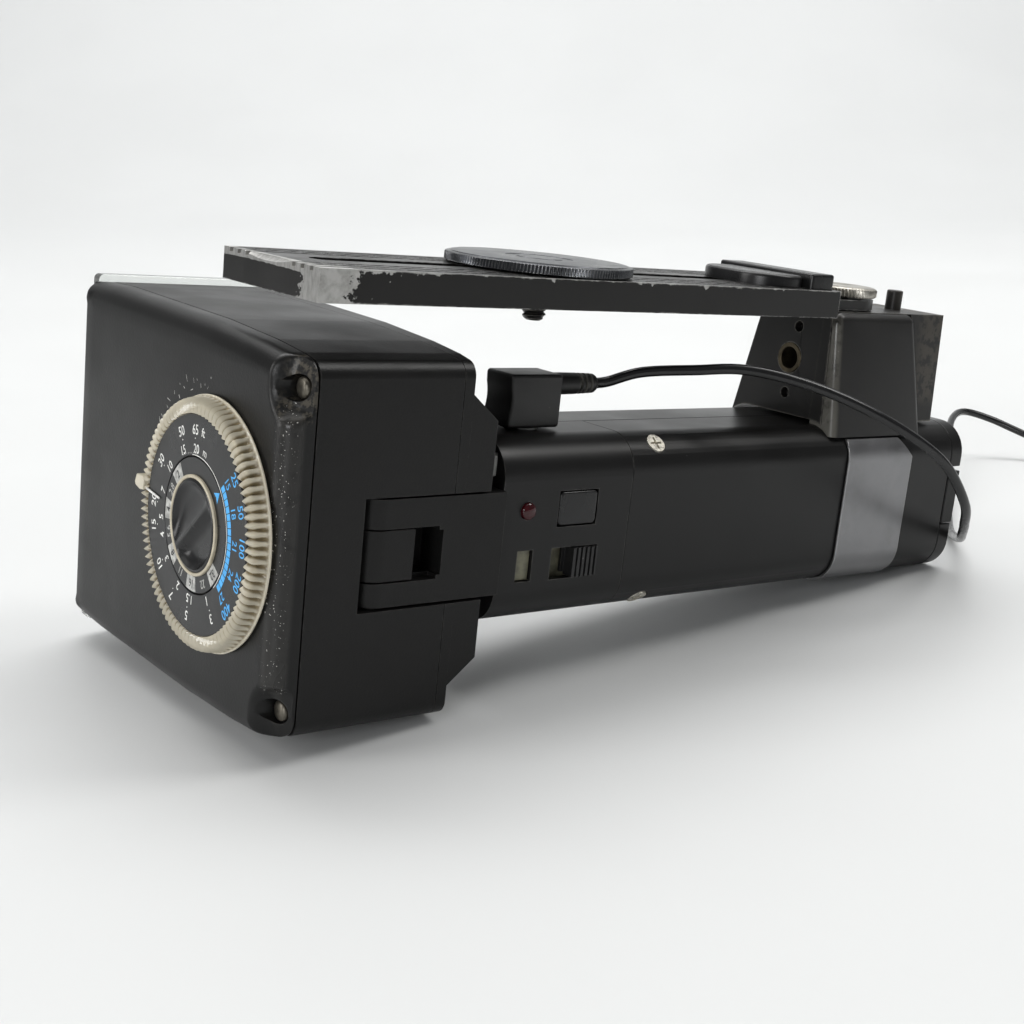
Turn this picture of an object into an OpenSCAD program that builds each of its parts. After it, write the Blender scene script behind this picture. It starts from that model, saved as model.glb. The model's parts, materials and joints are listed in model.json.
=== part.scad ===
// Handle mount flash, lying on its side: tilting lamp head, control section, grip,
// base with battery basket, and a side bracket with a camera plate and sync cord.
// Own axes before it is laid down: X from the head along the handle to the base,
// Y from the controls towards the lamp's window, Z sideways towards the camera plate.

/* [Head] */
// how far the lamp head runs along the handle, between its two covers
head_h = 39; // [36:0.5:43]
// depth of the head from its back to its window
head_d = 117.5; // [108:0.5:120]
// half the head's width at the back
head_back_w = 43.8; // [42:0.2:45]
// half the head's width near the window
head_front_w = 48; // [46.5:0.5:49]
// wall of the moulded shells
wall = 2.4; // [2:0.1:2.8]
// height of the lid that carries the dial
lid_h = 8; // [7.5:0.25:9]

/* [Dial] */
// radius of the ribbed clear ring
ring_r = 30.2; // [29.5:0.1:31]
// height of the ribbed clear ring
ring_h = 5; // [4.5:0.1:5.6]
// radius of the middle knob
knob_r = 11.2; // [10:0.1:12]
// radius of the knob's shaft
shaft_r = 3.7; // [3.4:0.1:4]
// turning clearance on every shaft
run_gap = 0.05; // [0.03:0.01:0.08]

/* [Tilt joint] */
// width of the arm between head and handle
arm_w = 26.4; // [24:0.2:27]
// thickness of the arm
arm_t = 12; // [11:0.5:12.5]
// how far the release slides
release_travel = 5; // [4:0.25:5.5]

/* [Handle] */
// half the handle's width across
grip_hw = 24; // [23:0.25:24.5]
// thickness of the handle from the control side to the lamp side
grip_t = 45.4; // [44:0.2:47]
// where the base cap starts, from the dial side of the head
cap_x = 233.5; // [231:0.5:236]
// thickness of the base cap
cap_t = 6.5; // [6:0.25:8]
// length of a battery cell
cell_l = 50; // [49:0.5:50.5]
// radius of a battery cell
cell_r = 7; // [6.8:0.05:7.2]

/* [Bracket] */
// width of the metal band round the handle
band_w = 29.5; // [27:0.5:31]
// height of the bracket block above the middle of the handle
block_z = 57.8; // [56:0.2:59]
// radius of the brass bush bore in the block
bush_r = 3.175; // [3:0.025:3.4]
// radius of the small knurled wheel
clamp_wheel_r = 11; // [10:0.25:12.5]

/* [Camera plate] */
// length of the ribbed plate
plate_l = 171; // [165:0.5:175]
// width of the ribbed plate
plate_w = 46; // [44:0.5:48]
// thickness of the ribbed plate
plate_t = 7.7; // [7:0.1:8.4]
// radius of the camera screw
screw_r = 3.175; // [3:0.025:3.4]
// radius of the large knurled wheel
wheel_r = 24.7; // [23:0.1:25.5]

/* [Cord] */
// diameter of the sync cord
cord_d = 2.9; // [2.6:0.1:3.2]

/* [Hidden] */
$fn = 48;

gap = 0.3;
grip_y = 2.2;
grip_mid = grip_y + grip_t / 2;
seam_y = grip_mid + 0.4;
panel_end = 98;
corner_r = 10;
lid_x = -lid_h;
cover_near = head_h + 3;
cover_far = head_h + 8;
boss_x = head_h + 11;
panel_x = boss_x + 5.5;

// half width of the head at a depth y: straight where it rests on the table
function head_w(y) = lookup(y, [[0, head_back_w], [8, head_back_w + 1.3], [20, head_back_w + 2.4],
    [44, head_front_w - 0.6], [100, head_front_w], [head_d, head_front_w - 0.5]]);
head_ys = [0, 4, 8, 14, 20, 32, 44, 72, 100, 108, head_d];
head_line = concat([for (y = head_ys) [y, head_w(y)]],
    [for (i = [len(head_ys) - 1:-1:0]) [head_ys[i], -head_w(head_ys[i])]]);

// the clear window's plate across the front, standing proud of the head's two sides
lens_x0 = lid_x + 3.4;
lens_x1 = cover_far - 0.6;
lens_mid = (lens_x0 + lens_x1) / 2;
lens_hw = head_front_w + 1.5;
lens_y0 = head_d - 3.6;
lens_y1 = head_d + 0.4;
lens_r = 1.5;

// laying down: the plane through the head's lower edge, the window's lower corner and the base
function edge_x(y) = cover_near + (cover_far - cover_near) * y / head_d;
rest_a = [edge_x(44), 44, -head_w(44)];
rest_b = [lens_x1 - lens_r * 0.89, lens_y0, -lens_hw];
rest_c = [cap_x + cap_t - 1, grip_y + corner_r, -grip_hw];
rest_n0 = cross(rest_c - rest_a, rest_b - rest_a);
rest_n = rest_n0 / norm(rest_n0);
tilt_a = asin(-rest_n.x);
roll_a = atan2(rest_n.y, rest_n.z);
lift = -rest_n * rest_a;
turn_m = [[cos(tilt_a), sin(tilt_a) * sin(roll_a), sin(tilt_a) * cos(roll_a)],
    [0, cos(roll_a), -sin(roll_a)],
    [-sin(tilt_a), cos(tilt_a) * sin(roll_a), cos(tilt_a) * cos(roll_a)]];
// the origin is under the middle of the object without its cord
shift = [-112.378, -59.064, lift];
function laid(p) = turn_m * p + shift;

// tilt joint
pivot = [21, grip_y + 4.6, 0];
pin_r = 2;
pocket_x0 = pivot.x - 6.8;
pocket_hz = arm_w / 2 + 0.6;
arm_z = -1.2;
release_z = -1.9;
pocket_y = grip_y + arm_t - 0.2;

// screws of the dial's lid
lid_screw_z = head_back_w - 5.4;

// dial
dial_y = 32.05;
face_x = lid_x - 0.35;
spindle_r = 9;
plate_x = face_x - ring_h + 0.9;

// control positions on the panel: x and z
lamp_p = [panel_x + 8.2, 6.3];
lamp_r = 2.3;
test_p = [80.1, 6.2];
test_s = [12.4, 8.9];
window_p = [panel_x + 8.7, -8.2];
window_s = [5, 8.2];
switch_p = [80.4, -8.3];
switch_s = [15.2, 8.4];

// bracket
block_x0 = 176;
block_x1 = 228;
stud = [192.5, 22.5];
stud_r = 3;
stud_z = block_z - 12.8;
lock = [218, 22];
lock_r = 2.5;
pin_z = block_z - 10.8;
bush = [24, 42];
bush_out = 4.6;
bracket_screw_p = [[24, 31.4], [22, block_z - 6.1]];
plate_z = block_z - 1.2;
tongue_z = block_z + gap;
tongue_t = 3;
wheel_z = tongue_z + tongue_t + 0.4;
plate_x0 = 0;
plate_y0 = 3.7;
slot_w = 7;
slot_x0 = 14;
slot_x1 = 148;
cam = [78.3, plate_y0 + plate_w / 2];

// plug and cord
plug_lo = [64.5, 15, grip_hw + 0.6];
plug_s = [17, 11.5, 14];
relief_z = grip_hw + 11.3;
relief_y = 20.6;
relief_end = [96.4, relief_y, relief_z];
cord_r = cord_d / 2;
tip_r = 1.75;

module lie_down() {
    translate(shift) rotate([roll_a, tilt_a, 0]) children();
}

// a flat outline in Y and Z run along X
module along_x(x0, x1) {
    translate([x0, 0, 0]) rotate([90, 0, 90]) linear_extrude(x1 - x0) children();
}

// a flat outline in X and Z run along Y
module along_y(y0, y1) {
    translate([0, y1, 0]) rotate([90, 0, 0]) linear_extrude(y1 - y0) children();
}

// a flat outline in X and Y run along Z
module along_z(z0, z1) {
    translate([0, 0, z0]) linear_extrude(z1 - z0) children();
}

module box(lo, hi) {
    translate(lo) cube(hi - lo);
}

module disc_x(x0, x1, y, z, r) {
    translate([x0, y, z]) rotate([0, 90, 0]) cylinder(r = r, h = x1 - x0);
}

module disc_y(y0, y1, x, z, r) {
    translate([x, y1, z]) rotate([90, 0, 0]) cylinder(r = r, h = y1 - y0);
}

module disc_z(z0, z1, x, y, r) {
    translate([x, y, z0]) cylinder(r = r, h = z1 - z0);
}

module round_rect(w, h, r) {
    hull() for (i = [-1, 1], j = [-1, 1]) translate([i * (w / 2 - r), j * (h / 2 - r)]) circle(r);
}

function knurl(r, n, deep) = [for (i = [0:2 * n - 1]) (r - (i % 2) * deep) * [cos(i * 180 / n), sin(i * 180 / n)]];

// a round tube through points, with its sides kept upright to a fixed direction
function unit(v) = v / norm(v);
function tangent(p, i) = unit(p[min(i + 1, len(p) - 1)] - p[max(i - 1, 0)]);
module tube(p, r, sides, up = [0, 0, 1]) {
    n = len(p);
    rings = [for (i = [0:n - 1]) let (t = tangent(p, i), s = unit(cross(t, up)), u = cross(s, t))
        for (k = [0:sides - 1]) p[i] + r * (cos(360 * k / sides) * s + sin(360 * k / sides) * u)];
    faces = concat([[for (k = [0:sides - 1]) k]],
        [for (i = [0:n - 2], k = [0:sides - 1])
            [i * sides + k, (i + 1) * sides + k, (i + 1) * sides + (k + 1) % sides, i * sides + (k + 1) % sides]],
        [[for (k = [sides - 1:-1:0]) (n - 1) * sides + k]]);
    polyhedron(rings, faces);
}

module head_outline(inset = 0) {
    offset(delta = -inset) offset(r = 4, $fn = 32) offset(delta = -4) polygon(head_line);
}

// the inside of the head, open towards the window
module head_inside(inset) {
    intersection() {
        union() {
            head_outline(inset);
            translate([head_d - 20, -head_front_w + inset + 1]) square([40, 2 * (head_front_w - inset - 1)]);
        }
        translate([inset, -60]) square([200, 120]);
    }
}

module head_shell() {
    color([0.05, 0.05, 0.055]) difference() {
        union() {
            along_x(0, head_h) difference() {
                head_outline();
                head_inside(wall);
            }
            box([pocket_x0 - 2, 0.2, arm_z - pocket_hz - 4], [head_h, pocket_y + 2, arm_z + pocket_hz + 4]);
        }
        box([pocket_x0, -1, arm_z - pocket_hz], [head_h + 1, pocket_y, arm_z + pocket_hz]);
        translate([pivot.x, pivot.y, arm_z - pocket_hz - 3]) cylinder(r = pin_r, h = 2 * pocket_hz + 6);
        lens_seat();
    }
}

// room for the window's plate in the head's three shells
module lens_seat() {
    box([lens_x0 - 0.1, lens_y0 - 0.1, -70], [cover_far + 10, head_d + 10, 70]);
}

// the lid's solid shape, its top edges rounded
module lid_body(inset, top, end) {
    hull() {
        along_x(lid_x + 4, end) head_outline(inset);
        along_x(lid_x + 2 + top * 0.9, -1) head_outline(inset + 0.4);
        along_x(lid_x + 0.9 + top, -1) head_outline(inset + 1.3);
        along_x(lid_x + top, -1) head_outline(inset + 3.4);
    }
}

module dial_cover() {
    color([0.045, 0.045, 0.05]) difference() {
        union() {
            difference() {
                lid_body(0, 0, -0.15);
                intersection() {
                    lid_body(wall, wall, 1);
                    box([-20, -5, -60], [5, head_d - 2, 60]);
                }
            }
            disc_x(face_x - 1.3, -5.5, dial_y, 0, spindle_r);
            disc_x(lid_x + 0.2, -0.15, dial_y, 0, 12);
            for (s = [-1, 1]) disc_x(lid_x + 1.6, -0.15, 6.6, s * lid_screw_z, 5.2);
        }
        disc_x(-30, 5, dial_y, 0, shaft_r + run_gap);
        for (s = [-1, 1]) {
            disc_x(lid_x - 1, lid_x + 4.2, 4.6, s * lid_screw_z, 3.9);
            disc_x(lid_x - 1, 1, 4.6, s * lid_screw_z, 1.6);
            box([lid_x - 1, -1, s * lid_screw_z - 2.6], [lid_x + 4.2, 4.6, s * lid_screw_z + 2.6]);
        }
        lens_seat();
    }
}

module cover_screws() {
    color([0.62, 0.6, 0.55]) for (s = [-1, 1]) difference() {
        union() {
            disc_x(lid_x + 1.7, lid_x + 4.2, 4.6, s * lid_screw_z, 2.7);
            disc_x(lid_x + 4, -0.3, 4.6, s * lid_screw_z, 1.55);
        }
        box([lid_x + 1, 4.6 - 2, s * lid_screw_z - 0.35], [lid_x + 2.7, 4.6 + 2, s * lid_screw_z + 0.35]);
        box([lid_x + 1, 4.6 - 0.35, s * lid_screw_z - 2], [lid_x + 2.7, 4.6 + 0.35, s * lid_screw_z + 2]);
    }
}

module base_wedge(thin) {
    along_z(-60, 60) polygon([[head_h - (thin > 0 ? 5 : 0), -1], [head_h - (thin > 0 ? 5 : 0), head_d + 5],
        [cover_far - thin, head_d + 5], [cover_far - thin, head_d], [cover_near - thin, 0], [cover_near - thin, -1]]);
}

module head_base_cover() {
    color([0.045, 0.045, 0.05]) difference() {
        union() {
            intersection() {
                along_x(head_h + 0.15, cover_far + 3) head_outline();
                base_wedge(0);
            }
            along_y(0.2, 62) polygon([[head_h + 0.5, -lid_screw_z], [cover_near, 1.8 - lid_screw_z], [boss_x, -30],
                [boss_x, 30], [cover_near, lid_screw_z - 1.8], [head_h + 0.5, lid_screw_z]]);
        }
        intersection() {
            along_x(head_h - 1, cover_far + 3) head_inside(wall);
            base_wedge(1.8);
        }
        difference() {
            along_y(wall + 0.2, 60) polygon([[head_h - 1, -34], [cover_near, -33.5], [boss_x - 2, -28.5], [boss_x - 2, 28.5],
                [cover_near, 33.5], [head_h - 1, 34]]);
            box([0, 0, arm_z - pocket_hz - 2], [60, pocket_y + 2, arm_z + pocket_hz + 2]);
        }
        box([head_h - 2, -1, arm_z - pocket_hz], [boss_x + 2, pocket_y, arm_z + pocket_hz]);
        lens_seat();
    }
}

head_mid = head_h / 2;
bowl_y = head_d - 33.5;
tube_y = head_d - 25.5;
board_y = head_d - 51.5;
board_t = 1.6;
can_r = 15;
// half the bowl's height and length, and half the tube's length
bowl_hx = head_h / 2 - 2.5;
bowl_hz = head_front_w - 10;
tube_hz = bowl_hz + 0.5;

module lens() {
    color([0.85, 0.86, 0.82, 0.35]) difference() {
        along_y(lens_y0, lens_y1) translate([lens_mid, 0]) round_rect(lens_x1 - lens_x0, 2 * lens_hw, lens_r);
        for (i = [-14:2:14]) box([head_mid + 0.3 + i, lens_y0 - 1, -bowl_hz], [head_mid + 1.3 + i, lens_y0 + 0.6, bowl_hz]);
    }
}

module lens_frame() {
    color([0.07, 0.07, 0.075]) difference() {
        along_y(lens_y0 - 9.2, lens_y0 - 0.3) translate([head_mid, 0])
            square([head_h - 0.8, 2 * head_front_w - 7.4], center = true);
        along_y(lens_y0 - 10, lens_y0) translate([head_mid, 0])
            square([head_h - 2.6, 2 * head_front_w - 13], center = true);
    }
}

module bowl(grow) {
    along_z(-bowl_hz - grow, bowl_hz + grow) polygon(concat(
        [for (i = [-17:1:17]) [head_mid + i / 17 * (bowl_hx + grow), bowl_y - grow + i * i * 0.082]],
        [[head_mid + bowl_hx + 0.5 + grow, bowl_y + 24], [head_mid - bowl_hx - 0.5 - grow, bowl_y + 24]]));
}

module reflector() {
    color([0.85, 0.85, 0.86]) difference() {
        intersection() {
            bowl(0.9);
            box([0, 0, -60], [60, bowl_y + 23.5, 60]);
        }
        bowl(0);
        translate([head_mid, tube_y, -60]) cylinder(r = 3.05, h = 120);
    }
}

module flash_tube() {
    color([0.9, 0.92, 0.93, 0.4]) translate([head_mid, tube_y, -tube_hz]) cylinder(r = 2.8, h = 2 * tube_hz);
}

module tube_caps() {
    color([0.6, 0.6, 0.6]) for (s = [-1, 1]) translate([head_mid, tube_y, s > 0 ? tube_hz : -tube_hz - 3.5])
        cylinder(r = 2.4, h = 3.5);
}

module main_capacitor() {
    color([0.1, 0.12, 0.3]) translate([head_mid, board_y - can_r - gap, -31]) cylinder(r = can_r, h = 62);
}

module head_board() {
    color([0.1, 0.3, 0.16]) {
        z = head_w(board_y) - wall - 0.4;
        box([1, board_y, -z], [head_h - 1, board_y + board_t, z]);
    }
}

module trigger_coil() {
    color([0.55, 0.3, 0.12]) translate([head_mid, board_y + board_t + 5.4, -8]) {
        cylinder(r = 4.5, h = 16);
        translate([-3, -5.4, 3]) cube([6, 3, 10]);
    }
}

module hinge_pin() {
    color([0.6, 0.6, 0.62]) translate([pivot.x, pivot.y, arm_z - pocket_hz - 3]) cylinder(r = pin_r, h = 2 * pocket_hz + 6);
}

module dial_ring() {
    color([0.86, 0.84, 0.72, 0.4]) difference() {
        union() {
            translate([face_x, dial_y, 0]) rotate([0, -90, 0]) linear_extrude(ring_h - 1, scale = 0.985)
                polygon(knurl(ring_r, 90, 0.9));
            disc_x(face_x - ring_h, face_x - ring_h + 1.1, dial_y, 0, ring_r - 1.3);
            translate([face_x - ring_h - 0.5, dial_y, 0]) rotate([180 + 7, 0, 0]) translate([0, ring_r - 3.1, -1.1])
                cube([1.2, 2, 2.2]);
        }
        disc_x(face_x - ring_h - 2, face_x - 1.4, dial_y, 0, ring_r - 2.2);
        disc_x(face_x - 2, face_x + 2, dial_y, 0, spindle_r + run_gap);
    }
}

module scale_disc() {
    color([0.03, 0.03, 0.035]) difference() {
        disc_x(plate_x - 0.1, face_x - 1.5, dial_y, 0, ring_r - 2.4);
        disc_x(-30, 0, dial_y, 0, knob_r + 5.3);
    }
}

module aperture_disc() {
    color([0.04, 0.04, 0.045]) difference() {
        disc_x(plate_x - 0.15, plate_x + 1.25, dial_y, 0, knob_r + 5);
        disc_x(-30, 0, dial_y, 0, knob_r + run_gap);
    }
}

module knob_collar() {
    color([0.8, 0.76, 0.62]) difference() {
        disc_x(plate_x - 0.4, plate_x - 0.17, dial_y, 0, knob_r + 0.9);
        disc_x(-30, 0, dial_y, 0, knob_r + run_gap);
    }
}

// two scooped halves leave a grip across the knob
module dial_knob() {
    color([0.03, 0.03, 0.035]) difference() {
        union() {
            disc_x(plate_x - 0.3, face_x - 1.6, dial_y, 0, knob_r);
            disc_x(plate_x, -4, dial_y, 0, shaft_r);
        }
        intersection() {
            disc_x(plate_x - 1, plate_x + 3, dial_y, 0, knob_r - 1);
            for (s = [-1, 1]) translate([plate_x - 3.6, dial_y, 0]) rotate([52, 0, 0]) translate([0, s * 5.2, -20])
                cylinder(r = 5.4, h = 40);
        }
    }
}

module hinge_arm() {
    color([0.05, 0.05, 0.052]) difference() {
        union() {
            translate([pivot.x, pivot.y, arm_z - arm_w / 2]) cylinder(r = 6.2, h = arm_w);
            box([pivot.x, grip_y - 1.6, arm_z - arm_w / 2], [panel_x - 0.1, grip_y + arm_t - 2, arm_z + arm_w / 2]);
            box([panel_x - 1, grip_y + 3, -9], [panel_x + 5, grip_y + 9, 9]);
        }
        translate([pivot.x, pivot.y, -50]) cylinder(r = pin_r + run_gap, h = 100);
        box([10, grip_y - 5, release_z - 6.6], [36, grip_y + 1.9, release_z + 6.6]);
        box([29.6, grip_y - 5, release_z - 5.6], [37.2, grip_y + 7.4, release_z + 5.6]);
    }
}

module tilt_release() {
    color([0.06, 0.06, 0.065]) intersection() {
        box([15.6, grip_y - 1.5, release_z - 6.3], [29.3, grip_y + 1.6, release_z + 6.3]);
        union() {
            translate([pivot.x, pivot.y, release_z - 8]) cylinder(r = 6.1, h = 16);
            box([pivot.x, -5, release_z - 8], [60, 10, release_z + 8]);
        }
    }
}

module arm_catch() {
    color([0.5, 0.5, 0.52]) {
        box([panel_x - 3.2, 6.2, arm_w / 2 + 2.2], [panel_x + 4, 7.6, arm_w / 2 + 7.4]);
        box([panel_x - 3.2, 3.4, arm_w / 2 + 2.2], [panel_x - 2, 7.6, arm_w / 2 + 7.4]);
    }
}

module grip_outline(inset = 0) {
    translate([grip_mid, 0]) hull() for (i = [-1, 1], j = [-1, 1])
        translate([i * (grip_t / 2 - corner_r), j * (grip_hw - corner_r)]) circle(corner_r - inset);
}

module grip_tube(x0, x1) {
    along_x(x0, x1) difference() {
        grip_outline();
        grip_outline(wall);
    }
}

module panel_hole(p, s, y1 = 8) {
    box([p.x - s.x / 2, -5, p.y - s.y / 2], [p.x + s.x / 2, y1, p.y + s.y / 2]);
}

module control_panel() {
    color([0.05, 0.05, 0.052]) difference() {
        union() {
            intersection() {
                grip_tube(panel_x, panel_end - 0.1);
                box([0, -5, -60], [300, seam_y - 0.05, 60]);
            }
            intersection() {
                along_x(panel_x, panel_x + 2) grip_outline();
                box([0, -5, -60], [300, seam_y - 0.05, 60]);
            }
        }
        disc_y(-5, 8, lamp_p.x, lamp_p.y, lamp_r);
        panel_hole(test_p, test_s + [0.6, 0.6]);
        panel_hole(window_p, window_s);
        panel_hole(switch_p, switch_s);
        disc_z(10, 40, 73, relief_y, 4.55);
        box([panel_x - 1, grip_y + 3, -9], [panel_x + 10, grip_y + 9, 9]);
        box([panel_x - 1, 6.1, arm_w / 2 + 2.1], [panel_x + 5, 7.7, arm_w / 2 + 7.5]);
    }
}

module handle_front() {
    color([0.05, 0.05, 0.052]) difference() {
        union() {
            intersection() {
                grip_tube(panel_x, cap_x - 0.1);
                box([0, seam_y + 0.05, -60], [300, 100, 60]);
            }
            intersection() {
                along_x(panel_x, panel_x + 2) grip_outline();
                box([0, seam_y + 0.05, -60], [300, 100, 60]);
            }
        }
    }
}

module grip_back() {
    color([0.045, 0.045, 0.047]) difference() {
        intersection() {
            grip_tube(panel_end + 0.1, cap_x - 0.1);
            box([0, -5, -60], [300, seam_y - 0.05, 60]);
        }
        for (s = [-1, 1]) screw_seat(s) {
            translate([0, 0, -1.4]) cylinder(r = 3, h = 5);
            translate([0, 0, -8]) cylinder(r = 1.6, h = 9);
        }
    }
}

// the two screw seats on the rounded edges of the grip
module screw_seat(s) {
    translate([108, grip_y + corner_r, s * (grip_hw - corner_r)])
        rotate([s > 0 ? 40 : 140, 0, 0]) translate([0, 0, corner_r]) children();
}

module handle_screws() {
    color([0.66, 0.64, 0.58]) for (s = [-1, 1]) screw_seat(s) difference() {
        union() {
            translate([0, 0, -1.4]) cylinder(r = 2.8, h = 1.4);
            translate([0, 0, -8]) cylinder(r = 1.55, h = 7);
        }
        translate([-1.9, -0.35, -0.9]) cube([3.8, 0.7, 2]);
        translate([-0.35, -1.9, -0.9]) cube([0.7, 3.8, 2]);
    }
}

module ready_lamp() {
    color([0.5, 0.05, 0.08]) {
        disc_y(grip_y - 0.4, grip_y + 6, lamp_p.x, lamp_p.y, lamp_r - 0.1);
        translate([lamp_p.x, grip_y - 0.4, lamp_p.y]) scale([1, 0.5, 1]) sphere(r = lamp_r - 0.1);
    }
}

module test_button() {
    color([0.06, 0.06, 0.065]) {
        box([test_p.x - test_s.x / 2, grip_y - 0.2, test_p.y - test_s.y / 2],
            [test_p.x + test_s.x / 2, grip_y + 3.4, test_p.y + test_s.y / 2]);
        box([test_p.x - test_s.x / 2 - 1.2, grip_y + wall + 0.3, test_p.y - test_s.y / 2 - 0.8],
            [test_p.x + test_s.x / 2 + 1.2, grip_y + 4.2, test_p.y + test_s.y / 2 + 0.8]);
        box([test_p.x - 2, grip_y + 4, test_p.y - 2], [test_p.x + 2, grip_y + 7.6, test_p.y + 2]);
    }
}

module check_window() {
    color([0.62, 0.58, 0.46]) box([window_p.x - 2.4, grip_y + 1.1, window_p.y - 4], [window_p.x + 2.4, grip_y + 3.2, window_p.y + 4]);
}

module power_switch() {
    color([0.13, 0.13, 0.135]) {
        difference() {
            box([79.6, grip_y - 0.9, switch_p.y - 3.9], [87.7, grip_y + 2.8, switch_p.y + 3.9]);
            for (i = [0:4]) box([80.5 + i * 1.5, grip_y - 2, switch_p.y - 5], [81.2 + i * 1.5, grip_y - 0.3, switch_p.y + 5]);
        }
        box([78.6, grip_y + 2.7, switch_p.y - 3.2], [88.6, grip_y + 3.7, switch_p.y + 3.2]);
    }
}

module switch_plate() {
    color([0.6, 0.57, 0.46]) box([71.6, grip_y + 4, switch_p.y - 5], [89.4, grip_y + 5, switch_p.y + 5]);
}

module control_board() {
    color([0.1, 0.3, 0.16]) {
        z = grip_hw - wall - gap;
        box([68, grip_y + 10.4, -z], [95, grip_y + 12, z]);
    }
}

module sync_socket() {
    color([0.6, 0.6, 0.6]) difference() {
        disc_z(17, grip_hw + 0.3, 73, relief_y, 4.4);
        disc_z(18.5, grip_hw + 2, 73, relief_y, 2.6);
    }
}

module clamp_band() {
    x0 = 183.3;
    color([0.62, 0.62, 0.63]) difference() {
        along_x(x0, x0 + band_w) difference() {
            translate([grip_mid, 0]) hull() for (i = [-1, 1], j = [-1, 1])
                translate([i * (grip_t / 2 - corner_r), j * (grip_hw - corner_r)]) circle(corner_r + 0.9);
            grip_outline(-0.1);
            translate([-10, grip_hw - 3.2]) square([100, 40]);
        }
        translate([x0 + band_w, grip_y - 10, grip_hw - 3.2]) rotate([0, 45, 0]) translate([-4, 0, -4]) cube([8, 16, 8]);
    }
}

// the casting in cross-section: wide on the handle, narrow under the plate
module block_outline(inset = 0) {
    offset(delta = -inset) polygon([[8, 17], [9.8, block_z], [37, block_z], [46, 17]]);
}

module bracket_block() {
    color([0.12, 0.12, 0.12]) difference() {
        along_x(block_x0, block_x1) difference() {
            block_outline();
            grip_outline(-1.1);
        }
        cover_body(0.1);
        disc_z(stud_z - 4, block_z + 1, stud.x, stud.y, stud_r);
        disc_z(pin_z - 4, block_z + 1, lock.x, lock.y, lock_r + run_gap);
        disc_x(block_x0 - 1, block_x0 + 12, bush.x, bush.y, bush_out);
        for (p = bracket_screw_p) disc_x(block_x0 - 1, block_x0 + 9, p.x, p.y, 1.6);
    }
}

module cover_body(grow) {
    hull() {
        box([block_x0 + 0.5 - grow, 3.4, 21.2], [218, 13 + grow, 22]);
        box([block_x0 + 0.5 - grow, 7.6, block_z - 2.5], [212.8 + grow, 13 + grow, block_z - 2.4]);
        box([block_x0 + 1.6 - grow, 9.4, block_z - 0.2], [211.8 + grow, 13 + grow, block_z - 0.1]);
    }
}

module bracket_cover() {
    color([0.13, 0.13, 0.13]) difference() {
        cover_body(0);
        along_x(block_x0 - 1, 240) grip_outline(-1.1);
    }
}

module socket_bush() {
    color([0.6, 0.48, 0.28]) difference() {
        disc_x(block_x0 - 0.3, block_x0 + 11.9, bush.x, bush.y, bush_out);
        disc_x(block_x0 - 1, block_x0 + 13, bush.x, bush.y, bush_r);
    }
}

module bracket_screws() {
    color([0.3, 0.3, 0.3]) for (p = bracket_screw_p) difference() {
        disc_x(block_x0 + 2.2, block_x0 + 8.8, p.x, p.y, 1.55);
        disc_x(block_x0 + 2, block_x0 + 3.4, p.x, p.y, 0.8);
    }
}

module clamp_stud() {
    color([0.55, 0.55, 0.56]) disc_z(stud_z, wheel_z + 1.8, stud.x, stud.y, stud_r);
}

module clamp_wheel() {
    color([0.5, 0.5, 0.48]) difference() {
        union() {
            translate([stud.x, stud.y, wheel_z]) linear_extrude(3) polygon(knurl(clamp_wheel_r, 44, 0.5));
            disc_z(wheel_z, wheel_z + 3.3, stud.x, stud.y, clamp_wheel_r - 1.4);
        }
        disc_z(wheel_z - 1, wheel_z + 2.1, stud.x, stud.y, stud_r + run_gap);
    }
}

module lock_pin() {
    color([0.16, 0.16, 0.165]) disc_z(pin_z, block_z + 6, lock.x, lock.y, lock_r);
}

// the ribbed plate, its upper half running on over the block as a tongue
module camera_plate() {
    y1 = plate_y0 + plate_w;
    x1 = plate_x0 + plate_l;
    color([0.16, 0.16, 0.165]) difference() {
        union() {
            box([plate_x0, plate_y0, plate_z], [x1, y1, plate_z + plate_t]);
            hull() {
                disc_z(tongue_z, tongue_z + tongue_t, stud.x, stud.y, clamp_wheel_r - 0.8);
                box([x1 - 2, stud.y - clamp_wheel_r + 0.8, tongue_z],
                    [x1 - 1, stud.y + clamp_wheel_r - 0.8, tongue_z + tongue_t]);
            }
        }
        disc_z(plate_z - 1, plate_z + 20, stud.x, stud.y, stud_r + run_gap);
        box([slot_x0, cam.y - slot_w / 2, plate_z - 1], [slot_x1, cam.y + slot_w / 2, plate_z + 20]);
        disc_z(plate_z - 1, plate_z + 20, slot_x0, cam.y, slot_w / 2);
        disc_z(plate_z - 1, plate_z + 20, slot_x1, cam.y, slot_w / 2);
        for (y = [plate_y0 + 3, plate_y0 + 7, plate_y0 + 11, y1 - 4.6, y1 - 8.6, y1 - 12.6])
            box([plate_x0 - 1, y, plate_z + plate_t - 1], [x1 + 1, y + 1.6, plate_z + plate_t + 1]);
    }
}

module plate_pad() {
    z0 = plate_z + plate_t + 0.02;
    color([0.06, 0.06, 0.065]) intersection() {
        hull() for (y = [plate_y0 + 15, plate_y0 + plate_w - 22]) disc_z(z0, z0 + 3.4, 155, y, 11);
        box([130, plate_y0 + 4, z0], [160, plate_y0 + plate_w - 4, z0 + 3.4]);
    }
}

module plate_block() {
    z0 = plate_z + plate_t + 0.02;
    color([0.07, 0.07, 0.075]) box([161, plate_y0 + 2.5, z0], [plate_x0 + plate_l - 0.5, plate_y0 + plate_w - 6, z0 + 4.3]);
}

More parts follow.
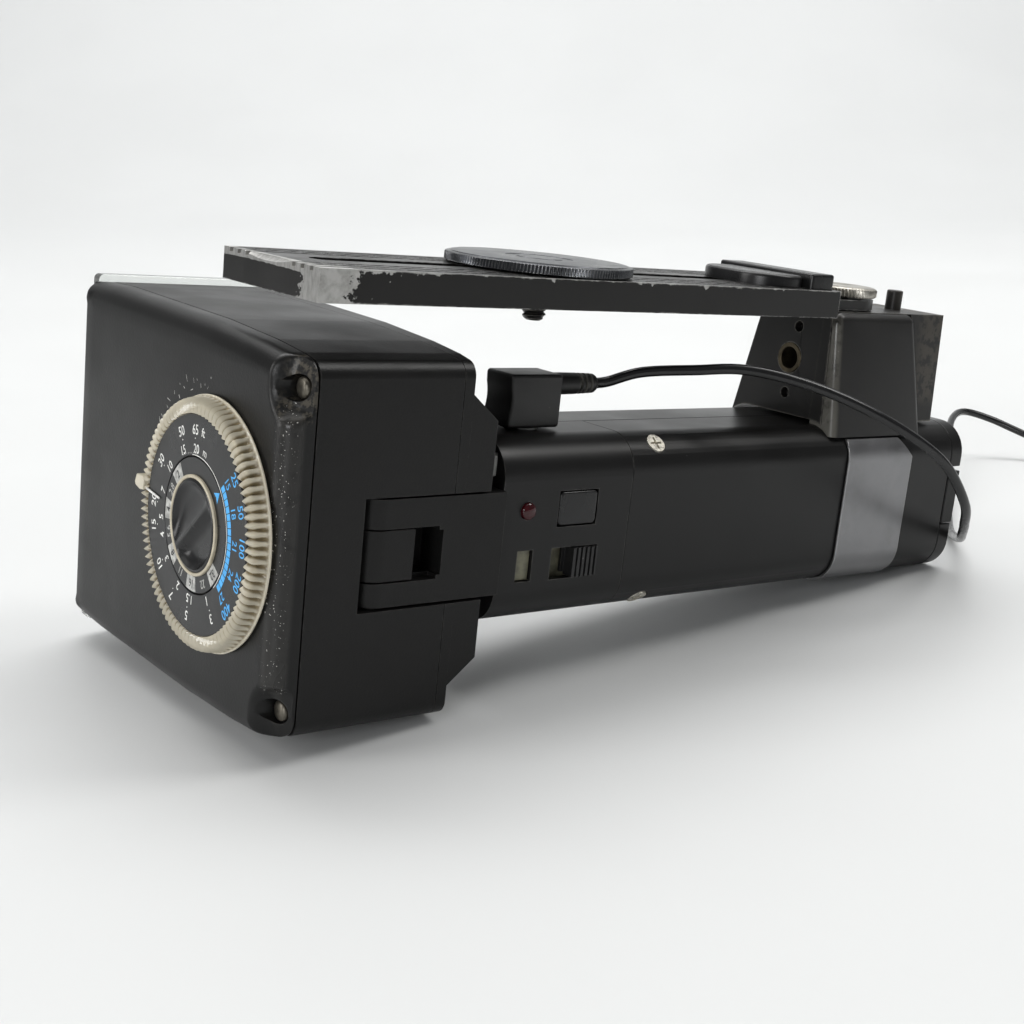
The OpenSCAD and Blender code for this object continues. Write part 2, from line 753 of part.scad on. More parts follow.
// guide block in the slot: it slides but doesn't turn
module screw_carriage() {
    color([0.45, 0.45, 0.46]) difference() {
        box([cam.x - 6, cam.y - slot_w / 2 + 0.3, plate_z + 0.4], [cam.x + 6, cam.y + slot_w / 2 - 0.3, plate_z + plate_t + 0.1]);
        disc_z(plate_z - 5, plate_z + 30, cam.x, cam.y, screw_r - 0.4 + run_gap);
    }
}

module camera_screw() {
    color([0.5, 0.49, 0.46]) {
        disc_z(plate_z - 4.2, plate_z - 0.1, cam.x, cam.y, screw_r);
        disc_z(plate_z - 0.5, plate_z + plate_t + 2, cam.x, cam.y, screw_r - 0.4);
    }
}

module camera_wheel() {
    z0 = plate_z + plate_t + 0.4;
    color([0.2, 0.2, 0.2]) difference() {
        union() {
            translate([cam.x, cam.y, z0]) linear_extrude(2.5) polygon(knurl(wheel_r, 100, 0.45));
            disc_z(z0 + 2.4, z0 + 2.8, cam.x, cam.y, wheel_r - 1.4);
        }
        disc_z(z0 - 1, z0 + 1.6, cam.x, cam.y, screw_r - 0.4);
        box([cam.x - 6, cam.y - 0.6, z0 + 1.9], [cam.x + 6, cam.y + 0.6, z0 + 4]);
    }
}

cell_rad = (2 * cell_r + 0.55) / sqrt(3);
basket_r = grip_t / 2 - wall - gap;
basket_x0 = cap_x - 2 * cell_l - 12;
module cell_spots() {
    for (a = [90, 210, 330]) translate([0, grip_mid + cell_rad * sin(a), cell_rad * cos(a)]) children();
}

module battery_basket() {
    color([0.08, 0.08, 0.09]) difference() {
        union() {
            along_x(basket_x0, basket_x0 + 2) translate([grip_mid, 0]) circle(basket_r);
            along_x(cap_x - 5, cap_x - 0.2) translate([grip_mid, 0]) circle(basket_r);
            along_x(basket_x0 + cell_l + 3.8, basket_x0 + cell_l + 5.2) translate([grip_mid, 0]) circle(basket_r);
            for (a = [30, 150, 270]) translate([basket_x0 + 1, grip_mid + 16 * sin(a), 16 * cos(a)]) rotate([0, 90, 0])
                cylinder(r = 1.9, h = cap_x - basket_x0 - 3);
        }
    }
}

module battery_cells() {
    color([0.2, 0.3, 0.2]) for (i = [0, 1]) cell_spots()
        translate([basket_x0 + 3.6 + i * (cell_l + 1.8), 0, 0]) rotate([0, 90, 0]) {
            cylinder(r = cell_r, h = cell_l - 1);
            cylinder(r = 2.7, h = cell_l);
        }
}

module battery_contacts() {
    color([0.7, 0.7, 0.68]) for (x = [basket_x0 + 2.1, cap_x - 6.5]) cell_spots()
        translate([x, 0, 0]) rotate([0, 90, 0]) cylinder(r = 4.5, h = 1.1);
}

module base_cap() {
    color([0.05, 0.05, 0.052]) difference() {
        hull() {
            along_x(cap_x + 0.1, cap_x + cap_t - 1) grip_outline();
            along_x(cap_x + 1, cap_x + cap_t) grip_outline(1);
        }
        box([cap_x - 1, -5, -8.2], [cap_x + cap_t + 1, grip_y + 3.4, 10.6]);
    }
}

module cap_latch() {
    color([0.09, 0.09, 0.095])
        box([cap_x + gap, grip_y - 0.2, -7.8], [cap_x + cap_t - 0.8, grip_y + 1.8, 9.2]);
}

module sync_plug() {
    lo = plug_lo;
    s = plug_s;
    color([0.035, 0.035, 0.04]) {
        difference() {
            box(lo, lo + s);
            disc_y(0, 60, lo.x - 14, lo.z + 7, 14.6);
        }
        disc_z(grip_hw - 4, lo.z + 1, 73, relief_y, 2.2);
        disc_z(grip_hw + 0.35, lo.z + 1, 73, relief_y, 4.3);
        translate([lo.x + s.x - 1, relief_y, relief_z]) rotate([0, 90, 0]) {
            cylinder(r1 = 3.4, r2 = 2.6, h = relief_end.x - lo.x - s.x + 1);
            for (i = [0:3]) translate([0, 0, 4 + i * 2.6]) cylinder(r = 3.2 - i * 0.12, h = 1.5);
        }
    }
}

// the cord's route on the table's axes, counted from the plug: over the handle, out in
// front of it, round behind the base end, then away over the table
own_x = [0.9944, 0, -0.105];
cord_route = [[113.4, 15, 77.4], [127, 8.4, 77.3], [138.7, 1.4, 77], [151, -7.8, 73.4],
    [164, -15.8, 67.2], [178, -22.9, 58.4], [192, -26.8, 47.6], [203, -26.6, 34], [212, -20.6, 24.6],
    [222, -12.8, 17.8], [233, -4.6, 12.8], [243.6, 3.8, 8.8], [254, 12.4, 5], [264.6, 22.6, 2.6],
    [279, 34.5, 2.6], [296, 48, 5.5], [316, 63, 10.5], [336, 79, 16], [354, 91, 19.5],
    [368, 95.5, 19.5], [378, 90, 16], [384, 80, 11.5], [388, 69, 7.6], [392, 58, 4.6], [397, 48, 3.3]];
cord_points = concat([laid(relief_end), laid(relief_end + [5, 0, 0.4])],
    [for (p = cord_route) p + [shift.x, shift.y, 0]]);
function curve(p, i, t) = let (n = len(p), a = p[max(i - 1, 0)], b = p[i], c = p[min(i + 1, n - 1)], d = p[min(i + 2, n - 1)])
    0.5 * (2 * b + (c - a) * t + (2 * a - 5 * b + 4 * c - d) * t * t + (3 * b - a - 3 * c + d) * t * t * t);
cord_line = concat([for (i = [0:len(cord_points) - 2], t = [0, 0.5]) curve(cord_points, i, t)], [cord_points[len(cord_points) - 1]]);
cord_end = cord_points[len(cord_points) - 1];
plug_dir = unit([5, -10, 0]);

module sync_cord() {
    color([0.04, 0.04, 0.045]) tube(cord_line, cord_r, 8);
}

module at_cord_end() {
    translate(cord_end) rotate([0, 0, atan2(plug_dir.y, plug_dir.x)]) rotate([0, 90, 0]) children();
}

module coaxial_plug() {
    color([0.035, 0.035, 0.04]) at_cord_end() difference() {
        union() {
            cylinder(r1 = 1.9, r2 = 2.9, h = 9);
            translate([0, 0, 8.9]) cylinder(r = 3.2, h = 10);
        }
        translate([0, 0, 15]) cylinder(r = tip_r - 0.35, h = 10);
    }
}

module coaxial_tip() {
    color([0.7, 0.68, 0.6]) at_cord_end() {
        translate([0, 0, 15]) cylinder(r = tip_r - 0.35, h = 4.2);
        translate([0, 0, 19]) cylinder(r = tip_r, h = 4.5);
    }
}

lie_down() head_shell();
lie_down() dial_cover();
lie_down() head_base_cover();
lie_down() cover_screws();
lie_down() lens();
lie_down() lens_frame();
lie_down() reflector();
lie_down() flash_tube();
lie_down() tube_caps();
lie_down() main_capacitor();
lie_down() head_board();
lie_down() trigger_coil();
lie_down() hinge_pin();
lie_down() dial_ring();
lie_down() scale_disc();
lie_down() aperture_disc();
lie_down() knob_collar();
lie_down() dial_knob();
lie_down() hinge_arm();
lie_down() arm_catch();
lie_down() tilt_release();
lie_down() control_panel();
lie_down() handle_front();
lie_down() grip_back();
lie_down() handle_screws();
lie_down() ready_lamp();
lie_down() test_button();
lie_down() check_window();
lie_down() power_switch();
lie_down() switch_plate();
lie_down() control_board();
lie_down() sync_socket();
lie_down() clamp_band();
lie_down() bracket_block();
lie_down() bracket_cover();
lie_down() socket_bush();
lie_down() bracket_screws();
lie_down() clamp_stud();
lie_down() clamp_wheel();
lie_down() lock_pin();
lie_down() camera_plate();
lie_down() plate_pad();
lie_down() plate_block();
lie_down() screw_carriage();
lie_down() camera_screw();
lie_down() camera_wheel();
lie_down() battery_basket();
lie_down() battery_cells();
lie_down() battery_contacts();
lie_down() base_cap();
lie_down() cap_latch();
lie_down() sync_plug();
sync_cord();
coaxial_plug();
coaxial_tip();
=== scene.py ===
import bpy
import bmesh
import json
import random
from math import radians, sin, cos, pi, sqrt, hypot
from mathutils import Vector, Matrix
from mathutils.geometry import delaunay_2d_cdt

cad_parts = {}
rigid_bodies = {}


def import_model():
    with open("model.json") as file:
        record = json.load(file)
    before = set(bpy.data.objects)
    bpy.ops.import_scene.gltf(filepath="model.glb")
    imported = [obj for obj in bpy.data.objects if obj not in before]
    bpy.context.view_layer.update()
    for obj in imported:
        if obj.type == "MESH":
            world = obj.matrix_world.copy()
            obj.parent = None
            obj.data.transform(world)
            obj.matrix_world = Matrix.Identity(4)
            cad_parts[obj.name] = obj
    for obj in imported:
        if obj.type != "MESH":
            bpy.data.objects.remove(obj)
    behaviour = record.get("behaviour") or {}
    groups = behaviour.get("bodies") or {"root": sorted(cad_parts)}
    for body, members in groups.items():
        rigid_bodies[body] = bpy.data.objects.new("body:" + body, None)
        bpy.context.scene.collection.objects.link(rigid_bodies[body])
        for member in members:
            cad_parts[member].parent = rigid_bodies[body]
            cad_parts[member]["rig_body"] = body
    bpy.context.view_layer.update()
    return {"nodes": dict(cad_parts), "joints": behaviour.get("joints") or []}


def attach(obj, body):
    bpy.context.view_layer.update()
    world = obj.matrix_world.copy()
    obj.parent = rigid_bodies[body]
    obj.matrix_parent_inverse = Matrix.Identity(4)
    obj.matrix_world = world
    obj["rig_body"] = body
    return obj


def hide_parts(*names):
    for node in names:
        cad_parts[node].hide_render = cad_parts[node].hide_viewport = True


# Handle mount flash lying on its side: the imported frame, dressed piece by piece.
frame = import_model()
nodes = frame["nodes"]
joints = {j["name"]: j for j in frame["joints"]}
random.seed(7)

# the flash's own axes: X from head to base, Y from controls to window, Z towards the plate, in millimetres
alongAxis = Vector(joints["screw_slide"]["axis"]).normalized()
plateAxis = Vector(joints["head_tilt"]["axis"]).normalized()
hinge = Vector((21, 6.8, 0))                     # where the head's pin stands on those axes
turn = Matrix((alongAxis, plateAxis.cross(alongAxis), plateAxis)).transposed()
start = Vector(joints["head_tilt"]["pos_m"]) - turn @ hinge / 1000
ownAxes = Matrix.Translation(start) @ turn.to_4x4() @ Matrix.Scale(0.001, 4)
toOwn = ownAxes.inverted()


def placed(name, data):
    thing = bpy.data.objects.new(name, data)
    bpy.context.scene.collection.objects.link(thing)
    return thing


# camera
cameraView = dict(place=(-0.269235, -0.344715, 0.151141), yaw=36.883, pitch=15.651, roll=-0.534,
                  lens=52.78921875, sensor=36, near=0.01)


def makeCamera():
    y, p, r = (radians(cameraView[k]) for k in ("yaw", "pitch", "roll"))
    look = Vector((sin(y) * cos(p), cos(y) * cos(p), -sin(p)))
    level = Vector((cos(y), -sin(y), 0))
    upright = level.cross(look)
    right = level * cos(r) + upright * sin(r)
    up = upright * cos(r) - level * sin(r)
    camera = placed("camera", bpy.data.cameras.new("camera"))
    looking = Matrix((right, up, -look)).transposed().to_4x4()
    camera.matrix_world = Matrix.Translation(cameraView["place"]) @ looking
    camera.data.lens = cameraView["lens"]
    camera.data.sensor_width = cameraView["sensor"]
    camera.data.clip_start = cameraView["near"]
    bpy.context.scene.camera = camera


makeCamera()
bpy.context.scene.view_settings.view_transform = "Standard"
print("camera placed")


# adds one material node: numbers set its sockets, other nodes' sockets are linked to them
def addNode(tree, kind, inputs, output=0, **settings):
    node = tree.nodes.new("ShaderNode" + kind)
    for key, value in settings.items():
        setattr(node, key, value)
    for key, value in inputs.items():
        if isinstance(value, bpy.types.NodeSocket):
            tree.links.new(value, node.inputs[key])
        else:
            node.inputs[key].default_value = value
    return node.outputs[output]


def mathNode(tree, operation, a, b, clamp=False):
    return addNode(tree, "Math", {0: a, 1: b}, operation=operation, use_clamp=clamp)


def times(tree, a, b):
    return mathNode(tree, "MULTIPLY", a, b)


def plus(tree, a, b, clamp=False):
    return mathNode(tree, "ADD", a, b, clamp)


def ramp(tree, value, low, high, to=(0.0, 1.0)):
    inputs = {"Value": value, "From Min": low, "From Max": high, "To Min": to[0], "To Max": to[1]}
    return addNode(tree, "MapRange", inputs, "Result", interpolation_type="SMOOTHSTEP")


def mixColor(tree, factor, a, b):
    a, b = ((*c, 1) if isinstance(c, tuple) else c for c in (a, b))
    return addNode(tree, "Mix", {0: factor, 6: a, 7: b}, 2, data_type="RGBA")


# places on the flash's own axes, in millimetres, for every material
def ownCoords(tree):
    source = addNode(tree, "TexCoord", {}, "Object")
    place, spin, size = toOwn.decompose()
    inputs = {"Vector": source, "Location": place, "Rotation": spin.to_euler(), "Scale": size}
    return addNode(tree, "Mapping", inputs)


# where something applies: limits are (axis, none here, full here)
def regionMask(tree, coords, limits):
    whole = 1.0
    for axis, none, full in limits:
        along = addNode(tree, "SeparateXYZ", {"Vector": coords}, axis)
        whole = times(tree, ramp(tree, along, none, full), whole)
    return whole


# how near an edge is: 1 on it, 0 away from it
def edgeAmount(tree, reach, samples):
    soft = addNode(tree, "Bevel", {"Radius": reach / 1000}, samples=samples)
    normal = addNode(tree, "NewGeometry", {}, "Normal")
    match = addNode(tree, "VectorMath", {0: soft, 1: normal}, "Value", operation="DOT_PRODUCT")
    return mathNode(tree, "MULTIPLY", mathNode(tree, "SUBTRACT", 1.0, match), finishSettings["edgeGain"], True)


# noises are (size, detail, roughness, stretch), their size left out where a finish gives it; fades are where
# a noise begins to count and where it counts in full, or how far apart these lie
finishSettings = dict(
    slowDetail=3, slowFade=(0.3, 0.7), sheenFade=(0.25, 0.75), dust=(5, 6, 0.7), dustFade=(0.5, 0.8),
    stain=(5, 0.65), stainFade=0.14, speck=(1.5, 0.5), speckFade=0.03, polishAndHighlight=(5, 4, 0.6),
    polishAndHighlightFade=(0.2, 0.5), wearAndHighlight=(3, 4, 0.6), wearAndHighlightFade=0.2, wearAndHighlightEdge=(0.2, 0.9), wearAndHighlightSamples=6, edgeGain=3.4,
    chip=(5, 0.62), chipFade=0.03, chipSamples=12, streak=(1.0, 5, 0.7, (0.25, 1, 0.25)),
    streakFade=(0.3, 0.62), grain=(1.7, 3), grainShare=0.6, scratch=(2.0, 2, 0.6, (1.0, 9.0, 3.0)),
    scratchFade=(0.66, 0.7), brush=(1.2, 4, 0.7), brushDepth=0.006)


# one finish: base colour, slow mottling and fine grain; then dust, stains, painted shade in grooves, polish
# with a painted highlight, specks, edge wear partly painted as highlight lines, and chips
def finish(name, color, rough=0.5, metal=0.0, mottle=0.12, mottleSize=14, grain=0.0, grainSize=0.6,
           roughSpread=0.06, wornAndHighlitEdges=None, chips=None, specks=None, scratch=0.0, clear=0.0, ior=1.48,
           brushed=None, dust=0.0, dustColor=(0.3, 0.28, 0.24), polishAndHighlight=None, stain=None, paintedGrooveShade=None):
    material = bpy.data.materials.new(name)
    material.use_nodes = True
    tree = material.node_tree
    shader = tree.nodes["Principled BSDF"]
    coords = ownCoords(tree)
    w = finishSettings

    def noise(size, detail=2.0, spread=0.55, stretch=None):
        at = addNode(tree, "Mapping", {"Vector": coords, "Scale": stretch}) if stretch else coords
        inputs = {"Vector": at, "Scale": 1 / size, "Detail": detail, "Roughness": spread}
        return addNode(tree, "TexNoise", inputs, "Fac")

    def patches(settings, detail, spread, fade):
        mask = ramp(tree, noise(settings["size"], detail, spread), settings["low"], settings["low"] + fade)
        if "region" in settings:
            mask = times(tree, mask, regionMask(tree, coords, settings["region"]))
        return mask

    slow = noise(mottleSize, w["slowDetail"])
    paler = tuple(min(1, c * (1 + mottle)) for c in color)
    darker = tuple(c * (1 - mottle) for c in color)
    shown = mixColor(tree, ramp(tree, slow, *w["slowFade"]), darker, paler)
    roughness = ramp(tree, slow, *w["sheenFade"], (rough - roughSpread, rough + roughSpread))
    metalness = None

    def lay(mask, newColor, newRough=None, newMetal=None):
        nonlocal shown, roughness, metalness
        shown = mixColor(tree, mask, shown, newColor)
        if newRough is not None:
            roughness = plus(tree, roughness, times(tree, mask, newRough - rough), True)
        if newMetal is not None:
            added = times(tree, mask, newMetal - metal)
            metalness = plus(tree, metal if metalness is None else metalness, added, True)

    if dust:
        lay(times(tree, ramp(tree, noise(*w["dust"]), *w["dustFade"]), dust), dustColor)
    if stain:
        lay(times(tree, patches(stain, *w["stain"], w["stainFade"]), stain["amount"]), stain["color"])
    # painted shade: in the grooves, where pointiness is low, the colour is mixed towards a darker one
    if paintedGrooveShade:
        bent = addNode(tree, "NewGeometry", {}, "Pointiness")
        shown = mixColor(tree, ramp(tree, bent, paintedGrooveShade["low"], paintedGrooveShade["high"]), paintedGrooveShade["color"], shown)
    # polish: a region gets its own roughness, and a lighter colour is laid there in patches as a painted
    # highlight
    if polishAndHighlight:
        inside = regionMask(tree, coords, polishAndHighlight["region"])
        roughness = plus(tree, roughness, times(tree, inside, polishAndHighlight["rough"] - rough), True)
        patchy = times(tree, ramp(tree, noise(*w["polishAndHighlight"]), *w["polishAndHighlightFade"]), polishAndHighlight["amount"])
        lay(times(tree, inside, patchy), polishAndHighlight["color"])
    if specks:
        lay(patches(specks, *w["speck"], w["speckFade"]), specks["color"])
    # edges lightened where the bevelled normal leaves the face's normal: partly real wear, partly painted
    # highlight lines
    if wornAndHighlitEdges:
        low = wornAndHighlitEdges.get("low", 0.4)
        edge = ramp(tree, edgeAmount(tree, wornAndHighlitEdges["reach"], w["wearAndHighlightSamples"]), *w["wearAndHighlightEdge"])
        mask = times(tree, edge, ramp(tree, noise(*w["wearAndHighlight"]), low, low + w["wearAndHighlightFade"]))
        lay(times(tree, mask, wornAndHighlitEdges.get("amount", 1.0)), wornAndHighlitEdges["color"], wornAndHighlitEdges["rough"], wornAndHighlitEdges.get("metal"))
    if chips:
        edge = times(tree, edgeAmount(tree, chips["reach"], w["chipSamples"]), chips["edge"])
        level = plus(tree, edge, noise(chips["size"], *w["chip"]))
        for point, radius, amount in chips["near"]:
            away = addNode(tree, "VectorMath", {0: coords, 1: point}, "Value", operation="DISTANCE")
            level = plus(tree, level, ramp(tree, away, radius, 0, (0, amount)))
        for limits, amount in chips["regions"]:
            level = plus(tree, level, times(tree, regionMask(tree, coords, limits), amount))
        mask = ramp(tree, level, chips["level"], chips["level"] + w["chipFade"])
        streaks = ramp(tree, noise(*w["streak"]), *w["streakFade"])
        bare = mixColor(tree, streaks, chips["streak"], chips["color"])
        lay(mask, bare, chips["rough"], chips["metal"])
    tree.links.new(shown, shader.inputs["Base Color"])
    tree.links.new(roughness, shader.inputs["Roughness"])
    if metalness is None:
        shader.inputs["Metallic"].default_value = metal
    else:
        tree.links.new(metalness, shader.inputs["Metallic"])
    shader.inputs["IOR"].default_value = ior
    if clear:
        shader.inputs["Transmission Weight"].default_value = clear
    heights = []
    if grain:
        inputs = {"Vector": coords, "Scale": 1 / grainSize}
        cells = addNode(tree, "TexVoronoi", inputs, "Distance", feature="SMOOTH_F1")
        wider, detail = w["grain"]
        bumpy = plus(tree, cells, noise(grainSize * wider, detail))
        heights.append((times(tree, bumpy, w["grainShare"]), grain))
    if scratch:
        heights.append((ramp(tree, noise(*w["scratch"]), *w["scratchFade"]), scratch))
    if brushed:
        heights.append((noise(*w["brush"], brushed), w["brushDepth"]))
    bumps = {}
    for height, depth in heights:
        inputs = {"Height": height, "Distance": depth / 1000, "Strength": 1.0}
        bumps["Normal"] = addNode(tree, "Bump", {**inputs, **bumps})
    if bumps:
        tree.links.new(bumps["Normal"], shader.inputs["Normal"])
    return material


paleSpeck = (0.5, 0.49, 0.46)
grime = (0.1, 0.088, 0.068)
finishes = dict(
    shell=finish("grained shell", (0.0072, 0.007, 0.0069), 0.4, grain=0.045, grainSize=0.5, ior=1.34,
                 mottle=0.1, mottleSize=30, specks=dict(size=1.1, low=0.83, color=paleSpeck),
                 wornAndHighlitEdges=dict(reach=0.7, color=(0.05, 0.048, 0.045), rough=0.24, amount=0.8, low=0.42)),
    coverShell=finish("worn cover shell", (0.0065, 0.0064, 0.0063), 0.36, grain=0.03, grainSize=0.5, ior=1.36,
                      mottle=0.1, mottleSize=30,
                      wornAndHighlitEdges=dict(reach=0.9, color=(0.045, 0.043, 0.04), rough=0.22, amount=0.8, low=0.42),
                      # painted highlight: a lighter, glossier strip along the back edge of the face
                      polishAndHighlight=dict(region=[(1, 4.8, 3.0), (0, -2.4, -4.0)], rough=0.24,
                                  color=(0.036, 0.035, 0.033), amount=0.7),
                      specks=dict(size=0.5, low=0.69, color=(0.55, 0.54, 0.51),
                                  region=[(1, 5.4, 3.4), (1, 0.0, 0.8), (0, -2.2, -4.0)]),
                      stain=dict(size=1.6, low=0.46, color=grime, amount=0.6,
                                 region=[(1, 7.5, 4.5), (0, -7.9, -7.2), (2, 29, 33)])),
    grip=finish("satin grip", (0.0068, 0.0066, 0.0066), 0.33, grain=0.008, grainSize=0.5, ior=1.36,
                mottle=0.1, mottleSize=40, specks=dict(size=1.0, low=0.84, color=paleSpeck),
                # edges lightened: partly wear, partly painted highlight lines
                wornAndHighlitEdges=dict(reach=0.6, color=(0.11, 0.107, 0.1), rough=0.2, amount=0.9, low=0.36)),
    smooth=finish("smooth black", (0.0085, 0.0085, 0.009), 0.3, grain=0.005, grainSize=0.8, ior=1.45,
                  wornAndHighlitEdges=dict(reach=0.4, color=(0.06, 0.06, 0.058), rough=0.2),
                  specks=dict(size=1.0, low=0.83, color=paleSpeck)),
    ringClear=finish("yellowed clear ring", (0.93, 0.87, 0.71), 0.09, clear=0.45, mottle=0.06, mottleSize=5,
                     ior=1.49, roughSpread=0.04, dust=0.3, dustColor=(0.5, 0.41, 0.27),
                     # painted shade: the ring's grooves darkened towards brown
                     paintedGrooveShade=dict(color=(0.3, 0.24, 0.14), low=0.46, high=0.53)),
    lensClear=finish("clear window", (0.93, 0.95, 0.93), 0.06, clear=0.93, mottle=0.03, roughSpread=0.03,
                     ior=1.49),
    scale=finish("black scale disc", (0.0085, 0.0085, 0.009), 0.3, grain=0.003, ior=1.45, scratch=0.004,
                 specks=dict(size=0.9, low=0.8, color=(0.25, 0.25, 0.24)), dust=0.08,
                 dustColor=(0.2, 0.2, 0.19)),
    paintLight=finish("pale print", (0.78, 0.78, 0.75), mottle=0.2, mottleSize=2.5),
    paintDim=finish("rubbed pale print", (0.42, 0.42, 0.4), mottle=0.35, mottleSize=1.2),
    paintBlue=finish("blue print", (0.08, 0.42, 0.85), mottleSize=2.5),
    cream=finish("cream ring plastic", (0.5, 0.45, 0.34), 0.4, mottle=0.16, mottleSize=4, dust=0.3,
                 dustColor=(0.25, 0.2, 0.13)),
    windowPlastic=finish("grimy beige plastic", (0.15, 0.145, 0.1), 0.45, mottle=0.3, mottleSize=2.2,
                         grain=0.02, grainSize=0.8, dust=0.6, dustColor=(0.09, 0.08, 0.055)),
    redLamp=finish("red lamp", (0.055, 0.002, 0.005), 0.06, mottle=0.1, mottleSize=3, clear=0.3,
                   roughSpread=0.02),
    screw=finish("plated screw", (0.66, 0.63, 0.55), 0.3, metal=0.55, mottle=0.2, mottleSize=2, grain=0.01,
                 grainSize=0.5, dust=0.35, dustColor=(0.16, 0.12, 0.08)),
    sunkScrew=finish("dull sunk screw", (0.12, 0.11, 0.09), 0.36, metal=0.8, mottle=0.3, mottleSize=2,
                     grain=0.01, grainSize=0.5, dust=0.9, dustColor=(0.08, 0.06, 0.035)),
    steel=finish("plain steel", (0.5, 0.5, 0.49), 0.34, metal=1.0, mottle=0.1, mottleSize=5, grain=0.006,
                 grainSize=0.5),
    catch=finish("grey catch", (0.13, 0.13, 0.125), 0.4, metal=0.5, mottle=0.3, mottleSize=2,
                 wornAndHighlitEdges=dict(reach=0.5, color=(0.4, 0.39, 0.36), rough=0.3, metal=0.9)),
    band=finish("rolled band", (0.25, 0.25, 0.257), 0.37, metal=0.92, mottle=0.08, mottleSize=12,
                # nearly every edge of the band lightened: partly worn metal, partly painted highlight lines
                brushed=(3, 0.5, 0.5), wornAndHighlitEdges=dict(reach=0.9, color=(0.85, 0.84, 0.8), rough=0.25, low=0.1),
                scratch=0.003, dust=0.2, dustColor=(0.13, 0.12, 0.11)),
    cast=finish("painted casting", (0.011, 0.0105, 0.01), 0.37, grain=0.012, grainSize=0.9, ior=1.38,
                mottle=0.15, mottleSize=16, specks=dict(size=1.0, low=0.82, color=paleSpeck),
                # edges lightened: partly worn paint, partly painted highlight lines
                wornAndHighlitEdges=dict(reach=1.1, color=(0.2, 0.19, 0.17), rough=0.25, metal=0.5, low=0.33),
                stain=dict(size=2.6, low=0.4, color=(0.06, 0.052, 0.041), amount=0.75,
                           region=[(0, 213, 222), (2, 28, 34)])),
    castLid=finish("painted lid", (0.0125, 0.012, 0.0115), 0.37, grain=0.012, grainSize=0.9, ior=1.4,
                   mottle=0.15, mottleSize=16, specks=dict(size=1.0, low=0.8, color=paleSpeck),
                   # painted highlight: the lid's rounded left edge laid in a lighter colour
                   polishAndHighlight=dict(region=[(0, 179.2, 177.4)], rough=0.25, color=(0.13, 0.125, 0.11),
                               amount=0.9)),
    plate=finish("painted plate", (0.01, 0.0095, 0.009), 0.36, grain=0.008, grainSize=0.8, ior=1.38,
                 scratch=0.004,
                 chips=dict(reach=1.0, size=2.4, edge=0.36, level=0.8, color=(0.5, 0.495, 0.48),
                            streak=(0.33, 0.325, 0.31), rough=0.36, metal=0.8,
                            near=[((0, 3.7, 61), 12.5, 0.62), ((6, 3.7, 64), 34, 0.22),
                                  ((-1, 50, 62), 9, 0.2)],
                            regions=[([(2, 61.9, 63.9), (1, 4.6, 4.1)], 0.17),
                                     ([(0, 3.6, 2.2), (2, 62.2, 63.0), (1, 9, 12)], 0.6)])),
    brass=finish("aged brass", (0.09, 0.075, 0.05), 0.42, metal=0.9, mottle=0.3, mottleSize=3, grain=0.01,
                 dust=0.5, dustColor=(0.05, 0.04, 0.03)),
    wheelDark=finish("dark knurled wheel", (0.055, 0.058, 0.064), 0.3, metal=0.8, mottle=0.2, mottleSize=10,
                     wornAndHighlitEdges=dict(reach=0.4, color=(0.5, 0.5, 0.5), rough=0.25, metal=0.95, low=0.3,
                               amount=0.7)),
    wheelLight=finish("worn knurled wheel", (0.4, 0.38, 0.34), 0.34, metal=0.85, mottle=0.25, mottleSize=4,
                      dust=0.5, dustColor=(0.1, 0.09, 0.07),
                      wornAndHighlitEdges=dict(reach=0.4, color=(0.78, 0.76, 0.7), rough=0.25, low=0.3)),
    thread=finish("dark thread", (0.03, 0.029, 0.028), 0.3, metal=0.7,
                  wornAndHighlitEdges=dict(reach=0.3, color=(0.42, 0.39, 0.33), rough=0.3, low=0.3, metal=0.8)),
    mirror=finish("polished reflector", (0.86, 0.86, 0.87), 0.12, metal=1.0, mottle=0.03, roughSpread=0.04),
    tubeGlass=finish("tube glass", (0.92, 0.94, 0.95), 0.06, clear=0.95, mottle=0.02, roughSpread=0.03),
    board=finish("circuit board", (0.05, 0.18, 0.08), 0.4, mottle=0.2, mottleSize=3, grain=0.02,
                 grainSize=1.5),
    coil=finish("wound coil", (0.4, 0.2, 0.08), 0.35, mottle=0.25, mottleSize=1, brushed=(1, 8, 8)),
    can=finish("sleeved can", (0.04, 0.07, 0.26), 0.3, mottle=0.08, grain=0.006),
    cell=finish("sleeved cell", (0.08, 0.2, 0.12), 0.3, mottle=0.08, grain=0.006),
    cord=finish("cord sheath", (0.007, 0.007, 0.0075), 0.25, mottle=0.1, grain=0.004, grainSize=1.2, ior=1.5),
    plug=finish("moulded plug", (0.009, 0.0088, 0.0085), 0.42, grain=0.02, mottle=0.15,
                # edges lightened: partly wear, partly painted highlight lines
                wornAndHighlitEdges=dict(reach=1.4, color=(0.14, 0.135, 0.12), rough=0.3, low=0.36),
                specks=dict(size=0.8, low=0.77, color=(0.3, 0.29, 0.27))))
print("finishes mixed")


# building helpers; every length below is in millimetres on the flash's own axes
def addObject(name, mesh, body, look, replaces=(), sharp=32):
    piece = placed(name, mesh)
    mesh.materials.clear()
    mesh.materials.append(finishes[look])
    mesh.polygons.foreach_set("use_smooth", [True] * len(mesh.polygons))
    mesh.set_sharp_from_angle(angle=radians(sharp))
    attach(piece, body)
    if replaces:
        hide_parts(*replaces)
    return piece


def faceOutwards(mesh):
    shape = bmesh.new()
    shape.from_mesh(mesh)
    bmesh.ops.recalc_face_normals(shape, faces=shape.faces)
    shape.to_mesh(mesh)
    shape.free()


